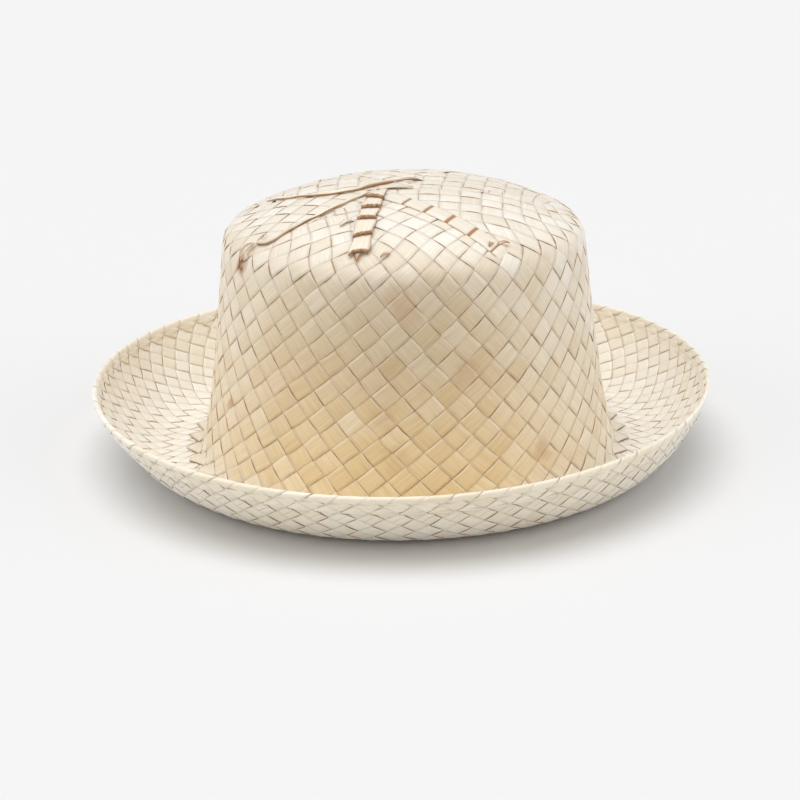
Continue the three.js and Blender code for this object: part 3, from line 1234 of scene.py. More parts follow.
class StrawGroup:
    """The shader node group for straw: long fibre streaks, a mask of the strip's edges and slow blotches."""

    NAME = "Straw fibre"

    def __init__(self) -> None:
        """Builds the group once."""
        self.tree = bpy.data.node_groups.new(self.NAME, "ShaderNodeTree")
        face = self.tree.interface
        for name, kind, value in (
            ("Streak", "NodeSocketFloat", 1.0),
            ("Edge Start", "NodeSocketFloat", 0.86),
            ("Blotch Scale", "NodeSocketFloat", 22.0),
        ):
            socket = face.new_socket(name, in_out="INPUT", socket_type=kind)
            socket.default_value = value
        for name in ("Fibre", "Fine", "Edge", "Blotch", "Height"):
            face.new_socket(name, in_out="OUTPUT", socket_type="NodeSocketFloat")
        self.build()

    def build(self) -> None:
        """Joins the nodes: noise stretched along the strip, a step across it, and slow noise."""
        nodes = Nodes(self.tree)
        source = self.tree.nodes.new("NodeGroupInput")
        target = self.tree.nodes.new("NodeGroupOutput")
        fibre = nodes.add("Attribute", attribute_name="fibre")
        split = nodes.add("SeparateXYZ", Vector=fibre.outputs["Vector"])
        along, across, own = split.outputs
        broad, fine = (
            nodes.add(
                "TexNoise",
                Vector=nodes.add(
                    "CombineXYZ",
                    X=nodes.math("MULTIPLY", along, lengthways),
                    Y=nodes.math("MULTIPLY", across, sideways),
                    Z=nodes.math("MULTIPLY", own, apart),
                ).outputs[0],
                Scale=1.0,
                Detail=3.0,
                Roughness=rough,
            )
            for lengthways, sideways, apart, rough in ((0.035, 4.0, 3.7, 0.55), (0.11, 15.0, 5.1, 0.6))
        )
        streak = nodes.ease(nodes.math("MULTIPLY", broad.outputs[0], source.outputs["Streak"]), 0.3, 0.7)
        threads = nodes.ease(fine.outputs[0], 0.3, 0.7)
        distance = nodes.math("ABSOLUTE", across)
        edge = nodes.add("MapRange", interpolation_type="SMOOTHSTEP")
        self.tree.links.new(distance, edge.inputs["Value"])
        self.tree.links.new(source.outputs["Edge Start"], edge.inputs["From Min"])
        coordinates = nodes.add("TexCoord")
        blotch = nodes.add("TexNoise", Detail=4.0, Roughness=0.6)
        self.tree.links.new(coordinates.outputs["Object"], blotch.inputs["Vector"])
        self.tree.links.new(source.outputs["Blotch Scale"], blotch.inputs["Scale"])
        raised = nodes.math("MULTIPLY", streak, 0.45)
        height = nodes.math("ADD", raised, nodes.math("MULTIPLY", threads, 0.55))
        for name, value in (
            ("Fibre", streak),
            ("Fine", threads),
            ("Edge", edge.outputs["Result"]),
            ("Blotch", nodes.ease(blotch.outputs[0], 0.35, 0.7)),
            ("Height", height),
        ):
            self.tree.links.new(value, target.inputs[name])


@dataclass(frozen=True)
class StrawFinish:
    """A finish of dried palm straw: its colours, sheen and relief."""

    name: str
    pale: tuple[float, float, float, float]
    warm: tuple[float, float, float, float]
    streak: tuple[float, float, float, float]
    edge: tuple[float, float, float, float]
    dull: tuple[float, float, float, float] = (0.716, 0.672, 0.617, 1.0)
    streak_share: float = 0.42
    thread_share: float = 0.5
    blotch_share: float = 0.3
    tone_share: float = 0.4
    # painted highlight: how far the strip edges are mixed toward the pale colour
    edge_highlight_share: float = 0.28
    roughness: float = 0.48
    relief: float = 0.3

    def build(self, group: StrawGroup) -> bpy.types.Material:
        """Makes the material: pale to warm by age, with streaks, painted highlights on the strip edges, and
        brown from stains and painted shade.

        Args:
            group: The straw node group.

        Returns:
            The material.
        """
        material, shader = new_material(self.name)
        tree = material.node_tree
        nodes = Nodes(tree)
        straw = tree.nodes.new("ShaderNodeGroup")
        straw.node_tree = group.tree
        own = nodes.add("Attribute", attribute_name="straw")
        tone, age, browning = nodes.add("SeparateXYZ", Vector=own.outputs["Vector"]).outputs
        shade = nodes.mix(age, self.pale, self.warm)
        # the tone darkens toward the dull colour; at the crown's front it carries painted shade besides each
        # straw's own tone
        dull = nodes.math("MULTIPLY", nodes.math("SUBTRACT", 1.0, tone), self.tone_share)
        colour = nodes.mix(dull, shade, self.dull, "MULTIPLY")
        for mask, amount in (
            ("Fibre", self.streak_share),
            ("Fine", self.thread_share),
            ("Blotch", self.blotch_share),
        ):
            share = nodes.math("MULTIPLY", straw.outputs[mask], amount)
            colour = nodes.mix(share, colour, self.streak, "MULTIPLY")
        # painted highlight: the strip edges are painted paler, as if lit
        edge_highlighted = nodes.mix(nodes.math("MULTIPLY", straw.outputs["Edge"], self.edge_highlight_share), colour, self.pale)
        # the brown mix carries real stains and painted shade
        browned = nodes.mix(browning, edge_highlighted, self.edge)
        tree.links.new(browned, shader.inputs["Base Color"])
        rough = nodes.math("ADD", nodes.math("MULTIPLY", straw.outputs["Fine"], 0.16), self.roughness - 0.08)
        tree.links.new(rough, shader.inputs["Roughness"])
        bump = nodes.add("Bump", Strength=self.relief, Distance=0.0002)
        tree.links.new(straw.outputs["Height"], bump.inputs["Height"])
        tree.links.new(bump.outputs["Normal"], shader.inputs["Normal"])
        shader.inputs["Specular IOR Level"].default_value = 0.45
        shader.inputs["Sheen Weight"].default_value = 0.4
        shader.inputs["Sheen Roughness"].default_value = 0.45
        return material


def painted_shade_edge(name: str, colour: tuple[float, float, float, float]) -> bpy.types.Material:
    """Makes the brown painted on a strip's cut edges as the shade in the gaps between strips.

    Args:
        name: The material's name.
        colour: Its linear colour.

    Returns:
        The material.
    """
    material, shader = new_material(name)
    nodes = Nodes(material.node_tree)
    place = nodes.add("TexCoord")
    noise = nodes.add("TexNoise", Vector=place.outputs["Object"], Scale=160.0, Detail=2.0)
    deeper = (*[0.5 * part for part in colour[:3]], 1.0)
    shade = nodes.mix(nodes.ease(noise.outputs[0], 0.3, 0.7), colour, deeper)
    material.node_tree.links.new(shade, shader.inputs["Base Color"])
    shader.inputs["Roughness"].default_value = 0.75
    return material


@dataclass(frozen=True)
class Coat:
    """A finish for straw and the one for its cut edges."""

    face: bpy.types.Material
    edge: bpy.types.Material


@dataclass
class Crown:
    """The crown: the side's diagonal plait, and the tip's square woven wedges."""

    form: HatForm
    cells_round: int = 42
    pitch: float = 8.6
    tip_pitch: float = 8.8
    turn_degrees: float = 1.5
    twist: float = 0.00216
    twist_from: float = 50.0
    top: float = 105.0
    tip_centre: tuple[float, float] = (-8.0, -11.0)
    tip_blend: float = 30.0
    tip_overlap: float = 3.2
    splinters: tuple[tuple[float, float, float, float], ...] = (
        (-1.8, 4.2, -7.4, 0.4),
        (-0.9, -4.4, 7.6, 0.3),
        (0.1, 4.4, -6.2, -0.4),
        (1.0, -4.0, 5.2, 0.4),
        (1.9, 4.4, -8.2, 0.1),
    )
    hole_angle: float = -150.0
    hole_height: float = 92.0
    hole_radius: float = 2.6

    def __post_init__(self) -> None:
        """Makes the side's plait and the tip's, which share their strips."""
        strips = StripSet(self.cells_round, StripStyle(), 11)
        self.side = RoundPlait(
            self.form,
            self.form.crown_profile(),
            self.cells_round,
            self.pitch,
            math.radians(self.turn_degrees) + self.twist * (self.twist_from + self.form.foot_flat),
            strips,
            True,
            Drift(twist=self.twist),
            origin=self.form.foot_flat,
        )
        self.tip = TipPlait(
            self.form,
            self.side,
            self.tip_pitch,
            self.tip_centre,
            blend_start=self.top,
            blend_stop=self.top + self.tip_blend,
            cut=self.top,
            overlap=self.tip_overlap,
        )

    def sectors(self) -> list[Sector]:
        """The tip's wedges, walked round from the ladder of folds.

        Returns:
            Seven wedges.
        """
        ladder = ((-8.2, -11.3), (-17.5, -68.6))
        slots = ((1.7, -27.4), (10.5, -35.5), (18.4, -43.5), (27.2, -51.9), (36.5, -61.7))
        right = self.ray(8.0)
        back_right = self.ray(58.0)
        back = self.ray(108.0)
        back_left = ((-17.3, -7.6), (-36.9, -5.4), (-57.6, 10.0))
        left = ((-15.6, -20.2), (-31.9, -34.3), (-54.5, -43.2), (-60.0, -41.0))
        return [
            Sector(left, ladder, 8.0),
            Sector(ladder, slots, 47.0),
            Sector(slots, right, 88.0),
            Sector(right, back_right, 174.0),
            Sector(back_right, back, 219.0),
            Sector(back, back_left, 269.0),
            Sector(back_left, left, 322.0),
        ]

    def ray(self, degrees: float) -> tuple[tuple[float, float], ...]:
        """A straight wedge side that runs out from the tip's meeting point at an angle.

        Args:
            degrees: The angle in plan, in degrees.

        Returns:
            The side's near and far plan points.
        """
        angle = math.radians(degrees)
        x, y = self.tip.centre
        return tuple((x + reach * math.cos(angle), y + reach * math.sin(angle)) for reach in (8.0, 70.0))

    def build(self, coat: Coat) -> list[bpy.types.Object]:
        """Builds the side with its hole and the torn ends in it, the tip, and the straw ends under its folds.

        Args:
            coat: Their finish.

        Returns:
            The four pieces.
        """
        side_mesh = StrawMesh("crown_side_plait")
        self.side.lay(side_mesh, self.form.foot_flat, self.top, True, True)
        profile = self.side.profile
        length = float(np.interp(self.hole_height, profile.height, profile.length))
        radius, height = profile.at(np.array(length), np.array(0.3))
        hole = self.form.on_crown(radius, height, np.array(math.radians(self.hole_angle)))
        side = side_mesh.build([(hole, self.hole_radius * MM)])
        torn_mesh = StrawMesh("shoulder_torn_ends")
        self.torn_ends(torn_mesh, length)
        torn = torn_mesh.build()
        tip_mesh = StrawMesh("crown_tip_plait")
        for sector in self.sectors():
            self.tip.lay(tip_mesh, sector)
        tip = tip_mesh.build()
        ends = self.fold_ends()
        for piece in (side, torn, tip, ends):
            thicken(piece, self.side.strips.style.thickness)
            dress(piece, coat, "crown_straw", "crown")
        return [side, torn, tip, ends]

    def torn_ends(self, mesh: StrawMesh, length: float) -> None:
        """Brown splinters that nearly fill the hole in the shoulder, from above and below, just inside it.

        Each is a tapered strip with its place aside, its start, its reach and its lean in millimetres. Its
        half width falls from its root to its end with the root of what is left. A brown strip end lies
        behind them.

        Args:
            mesh: The mesh that takes them.
            length: Length along the profile of the hole's middle.
        """
        share = np.linspace(0.0, 1.0, 7)[:, None]
        for number, (aside, start, reach, lean) in enumerate(self.splinters):
            along = length + start + reach * share
            across = aside + lean * share + 0.85 * np.sqrt(1.02 - share) * np.array([-1.0, 0.0, 1.0])
            angle = math.radians(self.hole_angle) + across / self.form.shoulder_radius
            lift = -0.85 - 0.12 * number + 0.75 * np.sin(math.pi * share) + 0.0 * across
            sheet, outward = self.side.laid(along + 0.0 * across, angle, lift)
            fibre = layered(across, along, across, FibreStart.SPLINTER.value + number)
            mesh.add(sheet, fibre, layered(across, 0.5, 1.0, 0.75), outward[3, 1])
        half = 2.7
        across = np.array([-half, 0.0, half]) + 0.0 * share
        along = length - 3.6 + 7.2 * share + 0.0 * across
        angle = math.radians(self.hole_angle) + across / self.form.shoulder_radius
        sheet, outward = self.side.laid(along, angle, 0.0 * across - 1.7)
        fibre = layered(across, along, across / half, FibreStart.BACKING.value)
        mesh.add(sheet, fibre, layered(across, 0.5, 1.0, 0.9), outward[3, 1])

    def fold_ends(self) -> bpy.types.Object:
        """Straw ends under the tip: one strip along the start of each wedge, just below the plait.

        Each strip runs from past the meeting point to the shoulder along the wedge's side and is laid 0.95 mm
        and a little more for each one below the middle of the plait.

        Returns:
            The piece.
        """
        mesh = StrawMesh("tip_fold_ends")
        rows, half, length = 34, 7.0, 60.0
        surface = TipSurface(self.form, self.side.profile)
        centre = np.array(self.tip.centre)
        for index, sector in enumerate(self.sectors()):
            points = np.array(sector.start)
            inward = (points[0] - centre) / np.linalg.norm(points[0] - centre)
            last = points[-1] + (points[-1] - points[-2]) / np.linalg.norm(points[-1] - points[-2]) * 4.0
            places, left = route(tuple(map(tuple, [centre - half * inward, *points[:-1], last])), rows)
            plan = places[:, None, :] + (ACROSS * half)[None, :, None] * left[:, None, :]
            height = np.full(plan.shape[:2], -self.form.crown_wall / 2 - 0.85 - 0.04 * index)
            sheet = surface.point(plan, height)
            along = np.linspace(0.0, length, rows)[:, None] + 0.0 * ACROSS
            fibre = layered(along, along, ACROSS, FibreStart.FOLD_END.value + index)
            mesh.add(sheet, fibre, layered(along, 0.5, 0.5, 0.35), np.array([0.0, 0.0, 1.0]))
        return mesh.build()


@dataclass
class Brim:
    """The brim: a diagonal plait from the crease up the curl, whose strips turn over the rim and back."""

    form: HatForm
    cells_round: int = 76
    pitch: float = 6.75
    turn_degrees: float = 1.0
    edge_depth: float = 8.0
    drift: Drift = Drift(stretch=0.1, lean=0.0036, sway=0.5)
    first_ring: float = 4.9
    fold_half: float = 1.6
    wrap_start: float = 2.2
    ring_step: float = 0.6

    def __post_init__(self) -> None:
        """Makes the plait that the brim and its rim share."""
        profile = self.form.brim_profile()
        self.plait = RoundPlait(
            self.form,
            profile,
            self.cells_round,
            self.pitch,
            math.radians(self.turn_degrees),
            StripSet(self.cells_round, StripStyle(crimp=0.26, thickness=0.22), 23),
            False,
            self.drift,
            fold=float(profile.length[-1]) - self.form.wrap_length - math.pi * self.form.roll_radius / 2.0,
        )

    def build(self, coat: Coat) -> list[bpy.types.Object]:
        """Builds the brim and the rim's wrap.

        Args:
            coat: Their finish.

        Returns:
            The two pieces.
        """
        profile = self.plait.profile
        end = float(profile.length[-1])
        rim = end - self.form.wrap_length - math.pi * self.form.roll_radius - self.edge_depth
        brim_mesh = StrawMesh("brim_plait")
        self.plait.lay(brim_mesh, 0.3, rim, True)
        rim_mesh = StrawMesh("rim_wrap_plait")
        fold = self.plait.fold
        rings = np.concatenate(
            [
                np.linspace(rim + self.first_ring, fold - self.fold_half, 6)[:-1],
                np.linspace(fold - self.fold_half, fold + self.fold_half, 12),
                np.arange(fold + self.wrap_start, end, self.ring_step),
            ]
        )
        self.plait.lay_rings(rim_mesh, rim, rings)
        brim, wrap = brim_mesh.build(), rim_mesh.build()
        for piece, slot, node in ((brim, "brim_straw", "brim"), (wrap, "edge_straw", "brim_edge")):
            thicken(piece, self.plait.strips.style.thickness)
            dress(piece, coat, slot, node)
        return [brim, wrap]


def dress(piece: bpy.types.Object, coat: Coat, slot: str, *nodes: str) -> None:
    """Gives a piece its finish, hangs it on the root body and hides the CAD nodes that it stands for.

    Args:
        piece: The object.
        coat: Its finish.
        slot: The record's material slot; not used.
        nodes: The CAD nodes that it stands for.
    """
    piece.data.materials.append(coat.face)
    piece.data.materials.append(coat.edge)
    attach(piece, "root")
    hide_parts(*nodes)


@dataclass
class TipSurface:
    """The crown's outer face seen in plan, for folds that are laid on it."""

    form: HatForm
    profile: Profile

    def point(self, plan: np.ndarray, lift: np.ndarray) -> np.ndarray:
        """Points in metres over plan places in millimetres from the crown's axis, lifted off the outer face.

        Args:
            plan: Plan places, with a last axis of 2.
            lift: Distance above the crown's outer face, in millimetres.

        Returns:
            Points in metres.
        """
        x, y = plan[..., 0], plan[..., 1] / self.form.oval
        start = int(np.argmax(self.profile.radius < self.form.shoulder_radius - 1.0))
        radius = self.profile.radius[start:][::-1]
        length = np.interp(np.hypot(x, y), radius, self.profile.length[start:][::-1])
        ring, height = self.profile.at(length, lift + self.form.crown_wall / 2)
        return self.form.on_crown(ring, height, np.arctan2(y, x))

    def laid(self, plan: np.ndarray, lift: np.ndarray) -> tuple[np.ndarray, np.ndarray]:
        """A sheet of points over plan places, and vectors that look out from it."""
        sheet = self.point(plan, lift)
        return sheet, self.point(plan, lift + 1.0) - sheet


def route(points: tuple[tuple[float, float], ...], number: int) -> tuple[np.ndarray, np.ndarray]:
    """A smooth plan line through points, each stretch a cubic with the slopes of its neighbours' chords.

    Args:
        points: Plan points in millimetres.
        number: How many places the line gets.

    Returns:
        The places and the unit vectors to their left.
    """
    knots = np.array(points)
    chord = np.concatenate([[0.0], np.cumsum(np.hypot(*np.diff(knots, axis=0).T))])
    slope = np.gradient(knots, chord, axis=0)
    where = np.linspace(0.0, chord[-1], number)
    index = np.clip(np.searchsorted(chord, where, side="right") - 1, 0, len(knots) - 2)
    span = (chord[index + 1] - chord[index])[:, None]
    t = (where - chord[index])[:, None] / span
    places = (
        (2 * t**3 - 3 * t**2 + 1) * knots[index]
        + (t**3 - 2 * t**2 + t) * span * slope[index]
        + (3 * t**2 - 2 * t**3) * knots[index + 1]
        + (t**3 - t**2) * span * slope[index + 1]
    )
    heading = np.gradient(places, axis=0)
    heading = heading / np.linalg.norm(heading, axis=1, keepdims=True)
    return places, np.stack([-heading[:, 1], heading[:, 0]], -1)


@dataclass
class LadderFold:
    """The fold at the front of the tip: short straw steps, each lapped over the next to a brown lip."""

    surface: TipSurface
    lips: tuple[tuple[float, float], ...] = (
        (-8.2, -11.3),
        (-11.5, -22.3),
        (-13.1, -34.1),
        (-14.7, -44.5),
        (-16.2, -57.4),
        (-17.5, -68.6),
    )
    top_width: float = 3.4
    width: float = 7.6
    wall: float = 0.3
    low: float = 0.25
    high: float = 1.9
    roll: float = 0.6
    seed: int = 5

    def build(self, coat: Coat) -> bpy.types.Object:
        """Builds the steps.

        Args:
            coat: Their finish.

        Returns:
            The piece.
        """
        mesh = StrawMesh("ladder_fold_steps")
        source = np.random.default_rng(self.seed)
        for step in range(len(self.lips) - 1):
            near, far = np.array(self.lips[step]), np.array(self.lips[step + 1])
            self.step(mesh, near, far, source, step)
        piece = mesh.build()
        thicken(piece, self.wall)
        dress(piece, coat, "pleat_straw", "pleat_ladder")
        return piece

    def step(
        self,
        mesh: StrawMesh,
        near: np.ndarray,
        far: np.ndarray,
        source: np.random.Generator,
        number: int,
    ) -> None:
        """One step: it rises from low to high along its length, then rolls down and back under at the lip.

        Args:
            mesh: The mesh that takes it.
            near: Plan place where it starts, under the lip before.
            far: Plan place of its own lip.
            source: Where its small differences are drawn from.
            number: Which step it is; the first one widens from top_width.
        """
        heading = (far - near) / np.linalg.norm(far - near)
        side = np.array([-heading[1], heading[0]])
        flat_rows, lip_rows = 13, 7
        rows = np.concatenate([np.linspace(-0.16, 0.97, flat_rows), np.full(lip_rows, 1.0)])
        lip = np.concatenate([np.zeros(flat_rows), np.linspace(0.16, 1.0, lip_rows)])
        across = np.linspace(-1.0, 1.0, 13)
        skew = source.uniform(-0.9, 0.9)
        length = np.linalg.norm(far - near)
        inner = np.clip(rows, 0.0, 1.0)
        full = self.width / 2 * source.uniform(0.93, 1.05)
        narrow = self.top_width / 2 if number == 0 else full
        width = narrow + (full - narrow) * inner
        width = width * (1.0 + 0.07 * np.sin(5.0 * inner + source.uniform(0.0, 6.0)))
        turn = lip * 1.3 * math.pi
        reach = rows * length + self.roll * np.sin(turn)
        lift = self.low + (self.high - self.low) * inner**1.6 - self.roll * (1.0 - np.cos(turn))
        ragged = source.uniform(-0.45, 0.45, 13) + (1.1 * np.abs(across) ** 3 if number == 4 else 0.0)
        plan = (
            near
            + (reach[:, None] + (skew * across + ragged) * inner[:, None])[..., None] * heading
            + (across * width[:, None])[..., None] * side
        )
        bow = 0.35 * (1.0 - across**2) - 0.45 * np.abs(across) ** 6
        height = lift[:, None] + bow * (0.4 + 0.6 * inner[:, None])
        sheet, outward = self.surface.laid(plan, height)
        fibre = layered(height, reach[:, None], across, FibreStart.LADDER.value + number)
        lip = lip[:, None]
        uneven = 0.85 + 0.15 * np.cos(7.0 * across + number)
        browning = smooth_step((lip + 0.2) * 2.6) * (lip > 0) * uneven
        # painted shade: browner where a step starts under the lip before it, and along both its side edges
        under = 0.35 * smooth_step((0.12 - rows[:, None]) / 0.12)
        shaded = under + 0.6 * smooth_step((np.abs(across + 0.04) - 0.8) / 0.2)
        straw = layered(height, 0.95, 0.05, np.clip(browning + shaded, 0.0, 0.95))
        mesh.add(sheet, fibre, straw, outward[6, 6])


@dataclass
class RolledFold:
    """A fold rolled to a thin twist of straw, tapered and frayed at its ends."""

    surface: TipSurface
    name: str
    node: str
    points: tuple[tuple[float, float], ...]
    sizes: tuple[float, ...]
    browns: tuple[float, ...]
    flatness: float = 0.85
    strands: tuple[tuple[float, float, float], ...] = ()
    seed: int = 3

    def build(self, coat: Coat) -> bpy.types.Object:
        """Builds the twist and the loose strands at its outer end.

        Args:
            coat: Its finish.

        Returns:
            The piece.
        """
        source = np.random.default_rng(self.seed)
        mesh = StrawMesh(self.name)
        self.twist(mesh, source)
        start = np.array(self.points[0])
        for number, (degrees, reach, curl) in enumerate(self.strands):
            self.strand(mesh, start, degrees, reach, curl, number)
        piece = mesh.build()
        dress(piece, coat, "fold_straw", self.node)
        return piece

    def twist(self, mesh: StrawMesh, source: np.random.Generator) -> None:
        """A ring of points carried along the route, waved, lobed and drawn in to a point at both ends.

        Args:
            mesh: The mesh that takes it.
            source: Where its waves are drawn from.
        """
        rows, around = 110, 14
        places, left = route(self.points, rows)
        share = np.linspace(0.0, 1.0, rows)
        angle = np.linspace(0.0, 2.0 * math.pi, around, endpoint=False)
        waves = source.uniform(0.0, 2.0 * math.pi, 6)
        swell = 1.0 + 0.14 * np.sin(21.0 * share + waves[0]) + 0.12 * np.sin(47.0 * share + waves[1])
        taper = np.clip(np.minimum(share, 1.0 - share) / 0.05, 0.0, 1.0) ** 0.6
        knots = np.linspace(0.0, 1.0, len(self.sizes))
        size = np.interp(share, knots, self.sizes) / 2 * swell * taper
        lobes = 1.0 + 0.16 * np.sin(3.0 * angle[None] + 14.0 * share[:, None] + waves[2])
        across = size[:, None] * lobes * np.cos(angle)
        wiggle = 0.22 * np.sin(33.0 * share + waves[4])[:, None]
        lift = size[:, None] * self.flatness * (0.85 + lobes * np.sin(angle))
        plan = places[:, None, :] + (across + wiggle)[..., None] * left[:, None, :]
        sheet, top = self.surface.laid(plan, lift)
        turned = 0.8 * np.cos(angle + 2.0 * share[:, None])
        fibre = layered(across, share[:, None] * 60.0, turned, FibreStart.TWIST.value)
        # painted shade: the twist is painted browner on its lower side, towards the front
        shaded = smooth_step((-0.04 - 0.35 * np.cos(angle) - 1.2 * np.sin(angle)) / 0.16)
        brown = np.interp(share, np.linspace(0.0, 1.0, len(self.browns)), self.browns)[:, None]
        depth = 0.8 + 0.15 * np.sin(9.0 * share + waves[3])[:, None]
        straw = layered(across, 0.9, 0.1, np.clip(shaded[None] * depth + brown, 0.0, 1.0))
        mesh.add(sheet, fibre, straw, top[rows // 2, around // 4], closed=True)

    def strand(
        self, mesh: StrawMesh, start: np.ndarray, degrees: float, reach: float, curl: float, number: int
    ) -> None:
        """A loose round strand that leaves the outer end at an angle in plan and bends by curl on its way.

        Args:
            mesh: The mesh that takes it.
            start: Plan place of its root.
            degrees: Its heading in plan, in degrees.
            reach: Its length in millimetres.
            curl: How far it bends, in radians.
            number: Which strand it is.
        """
        rows, around = 16, 8
        share = np.linspace(0.0, 1.0, rows)
        heading = math.radians(degrees) + curl * share
        step = reach / (rows - 1)
        plan_line = start + np.cumsum(np.stack([np.cos(heading), np.sin(heading)], -1) * step, 0)
        left = np.stack([-np.sin(heading), np.cos(heading)], -1)
        angle = np.linspace(0.0, 2.0 * math.pi, around, endpoint=False)
        size = 0.45 * np.sqrt(np.clip(1.0 - (2.0 * share - 1.0) ** 2, 0.0, 1.0))[:, None]
        plan = plan_line[:, None, :] + (size * np.cos(angle))[..., None] * left[:, None, :]
        lift = 0.45 + 0.9 * np.sin(math.pi * share)[:, None] + size * np.sin(angle)
        sheet, top = self.surface.laid(plan, lift)
        fibre = layered(lift, share[:, None] * reach, np.cos(angle), FibreStart.STRAND.value + number)
        # painted shade: a strand is browner on its underside, over a light brown all through
        browning = np.clip(0.25 + 0.5 * smooth_step(-np.sin(angle)), 0.0, 1.0)
        mesh.add(sheet, fibre, layered(lift, 0.6, 0.2, browning), top[8, 2], closed=True)


@dataclass
class TornEnds:
    """Small tongues of straw torn out of the plait of the tip, most of them brown, each curled up off it."""

    surface: TipSurface
    tongues: tuple[tuple[float, float, float, float, float, float], ...] = (
        (-17.8, -68.4, 262.0, 6.0, 1.3, 0.4),
        (-6.0, -70.5, 225.0, 4.6, 0.9, 0.3),
        (37.6, -58.6, 20.0, 4.6, 1.0, 0.35),
        (35.0, -58.5, 250.0, 4.4, 0.9, 0.35),
        (-10.5, -6.5, -8.0, 15.0, 3.0, -0.5),
        (-22.6, -43.0, 240.0, 5.5, 1.7, -0.4),
    )

    wall: float = 0.2

    def build(self, coat: Coat) -> bpy.types.Object:
        """Builds every tongue: its root's plan place, heading in degrees, length, half width, least stain.

        A tongue's half width falls to its point with the root of what is left. It rises and comes down again
        as a sine, less so where it is pale.

        Args:
            coat: Their finish.

        Returns:
            The piece.
        """
        mesh = StrawMesh("torn_straw_ends")
        share = np.linspace(0.0, 1.0, 11)[:, None]
        across = np.linspace(-1.0, 1.0, 5)
        for number, (x, y, degrees, reach, half, brown) in enumerate(self.tongues):
            turn = math.radians(degrees)
            heading = np.array([math.cos(turn), math.sin(turn)])
            left = np.array([-heading[1], heading[0]])
            width = half * np.sqrt(1.03 - share) * across
            plan = np.array([x, y]) + (reach * share)[..., None] * heading + width[..., None] * left
            rise = 0.9 if brown > 0.0 else 0.4
            height = 0.15 + rise * np.sin(0.85 * math.pi * share) + 0.35 * np.abs(across) * share
            sheet, outward = self.surface.laid(plan, height)
            fibre = layered(height, reach * share, across, FibreStart.TONGUE.value + number)
            browning = np.maximum(brown + 0.6 * smooth_step((np.abs(across) + share - 0.5) / 0.7), 0.0)
            mesh.add(sheet, fibre, layered(height, 0.7, 0.2, browning), outward[5, 2])
        piece = mesh.build()
        thicken(piece, self.wall)
        dress(piece, coat, "crown_straw", "crown")
        return piece


@dataclass
class SlotRow:
    """The row of straps along the wedge side that has slots: each strap ends in a narrow brown gap."""

    surface: TipSurface
    first: tuple[float, float] = (1.7, -27.4)
    step: tuple[float, float] = (8.7, -8.5)
    number: int = 5
    slot_widths: tuple[float, ...] = (1.3, 1.5, 1.7, 1.5, 0.8)
    width: float = 8.8
    slot_degrees: float = 60.0
    wall: float = 0.26

    def build(self, coat: Coat, lining: Coat) -> list[bpy.types.Object]:
        """Builds the straps and the brown strip seen in the slots between them.

        Args:
            coat: The straps' finish.
            lining: The under strip's finish.

        Returns:
            The two pieces.
        """
        step = np.array(self.step)
        length = float(np.linalg.norm(step))
        heading = step / length
        slant = math.radians(self.slot_degrees)
        slot = np.array([math.cos(slant), math.sin(slant)])
        start = np.array(self.first)
        straps = StrawMesh("slot_straps")
        across = np.linspace(-1.0, 1.0, 9)
        gaps = [0.5 * width for width in (0.0, *self.slot_widths, 0.0)]
        for index in range(-1, self.number):
            last = index == self.number - 1
            stop = (index + 0.4) * length if last else (index + 1) * length - gaps[index + 2]
            along = np.linspace(index * length + gaps[index + 1], stop, 13)
            share = np.linspace(-1.0, 1.0, 13)
            sunk = 0.75 * smooth_step((share + 0.2) / 1.2) if last else 0.0
            lift = 0.22 - 0.3 * np.abs(share) ** 9 - sunk
            self.sheet(straps, start, heading, slot, along, across, lift, 0.0, index)
        under = StrawMesh("slot_lining_strip")
        along = np.linspace(-0.3 * length, (self.number - 0.75) * length, 60)
        # the under strip is painted fully brown: straw in the slots, its brown partly painted shade of their
        # insides
        self.sheet(under, start, heading, slot, along, across * 0.94, np.full(60, -0.12), 1.0, 40)
        pieces = [straps.build(), under.build()]
        for piece, finish in zip(pieces, (coat, lining)):
            thicken(piece, self.wall)
            dress(piece, finish, "crown_straw", "crown")
        return pieces

    def sheet(
        self,
        mesh: StrawMesh,
        start: np.ndarray,
        heading: np.ndarray,
        slot: np.ndarray,
        along: np.ndarray,
        across: np.ndarray,
        lift: np.ndarray,
        browning: float,
        index: int,
    ) -> None:
        """Adds a strap skewed to the slots' slant, its lift falling off at its edges.

        Args:
            mesh: The mesh that takes it.
            start: Plan place of the row's start.
            heading: The row's direction in plan.
            slot: The slots' direction in plan.
            along: Lengths along the row, in millimetres.
            across: Places across it, from -1 to 1.
            lift: Heights over the outer face, in millimetres.
            browning: How brown it is, from 0 to 1.
            index: Its number in the row.
        """
        plan = start + along[:, None, None] * heading + (across * self.width / 2)[None, :, None] * slot
        height = lift[:, None] + 0.08 * (1.0 - across**2) - 0.4 * np.abs(across) ** 10
        sheet, outward = self.surface.laid(plan, height)
        fibre = layered(height, along[:, None], across, FibreStart.STRAP.value + index)
        straw = layered(height, 0.3 + 0.25 * math.sin(3.0 * index), 0.15, browning)
        mesh.add(sheet, fibre, straw, outward[len(along) // 2, len(across) // 2])


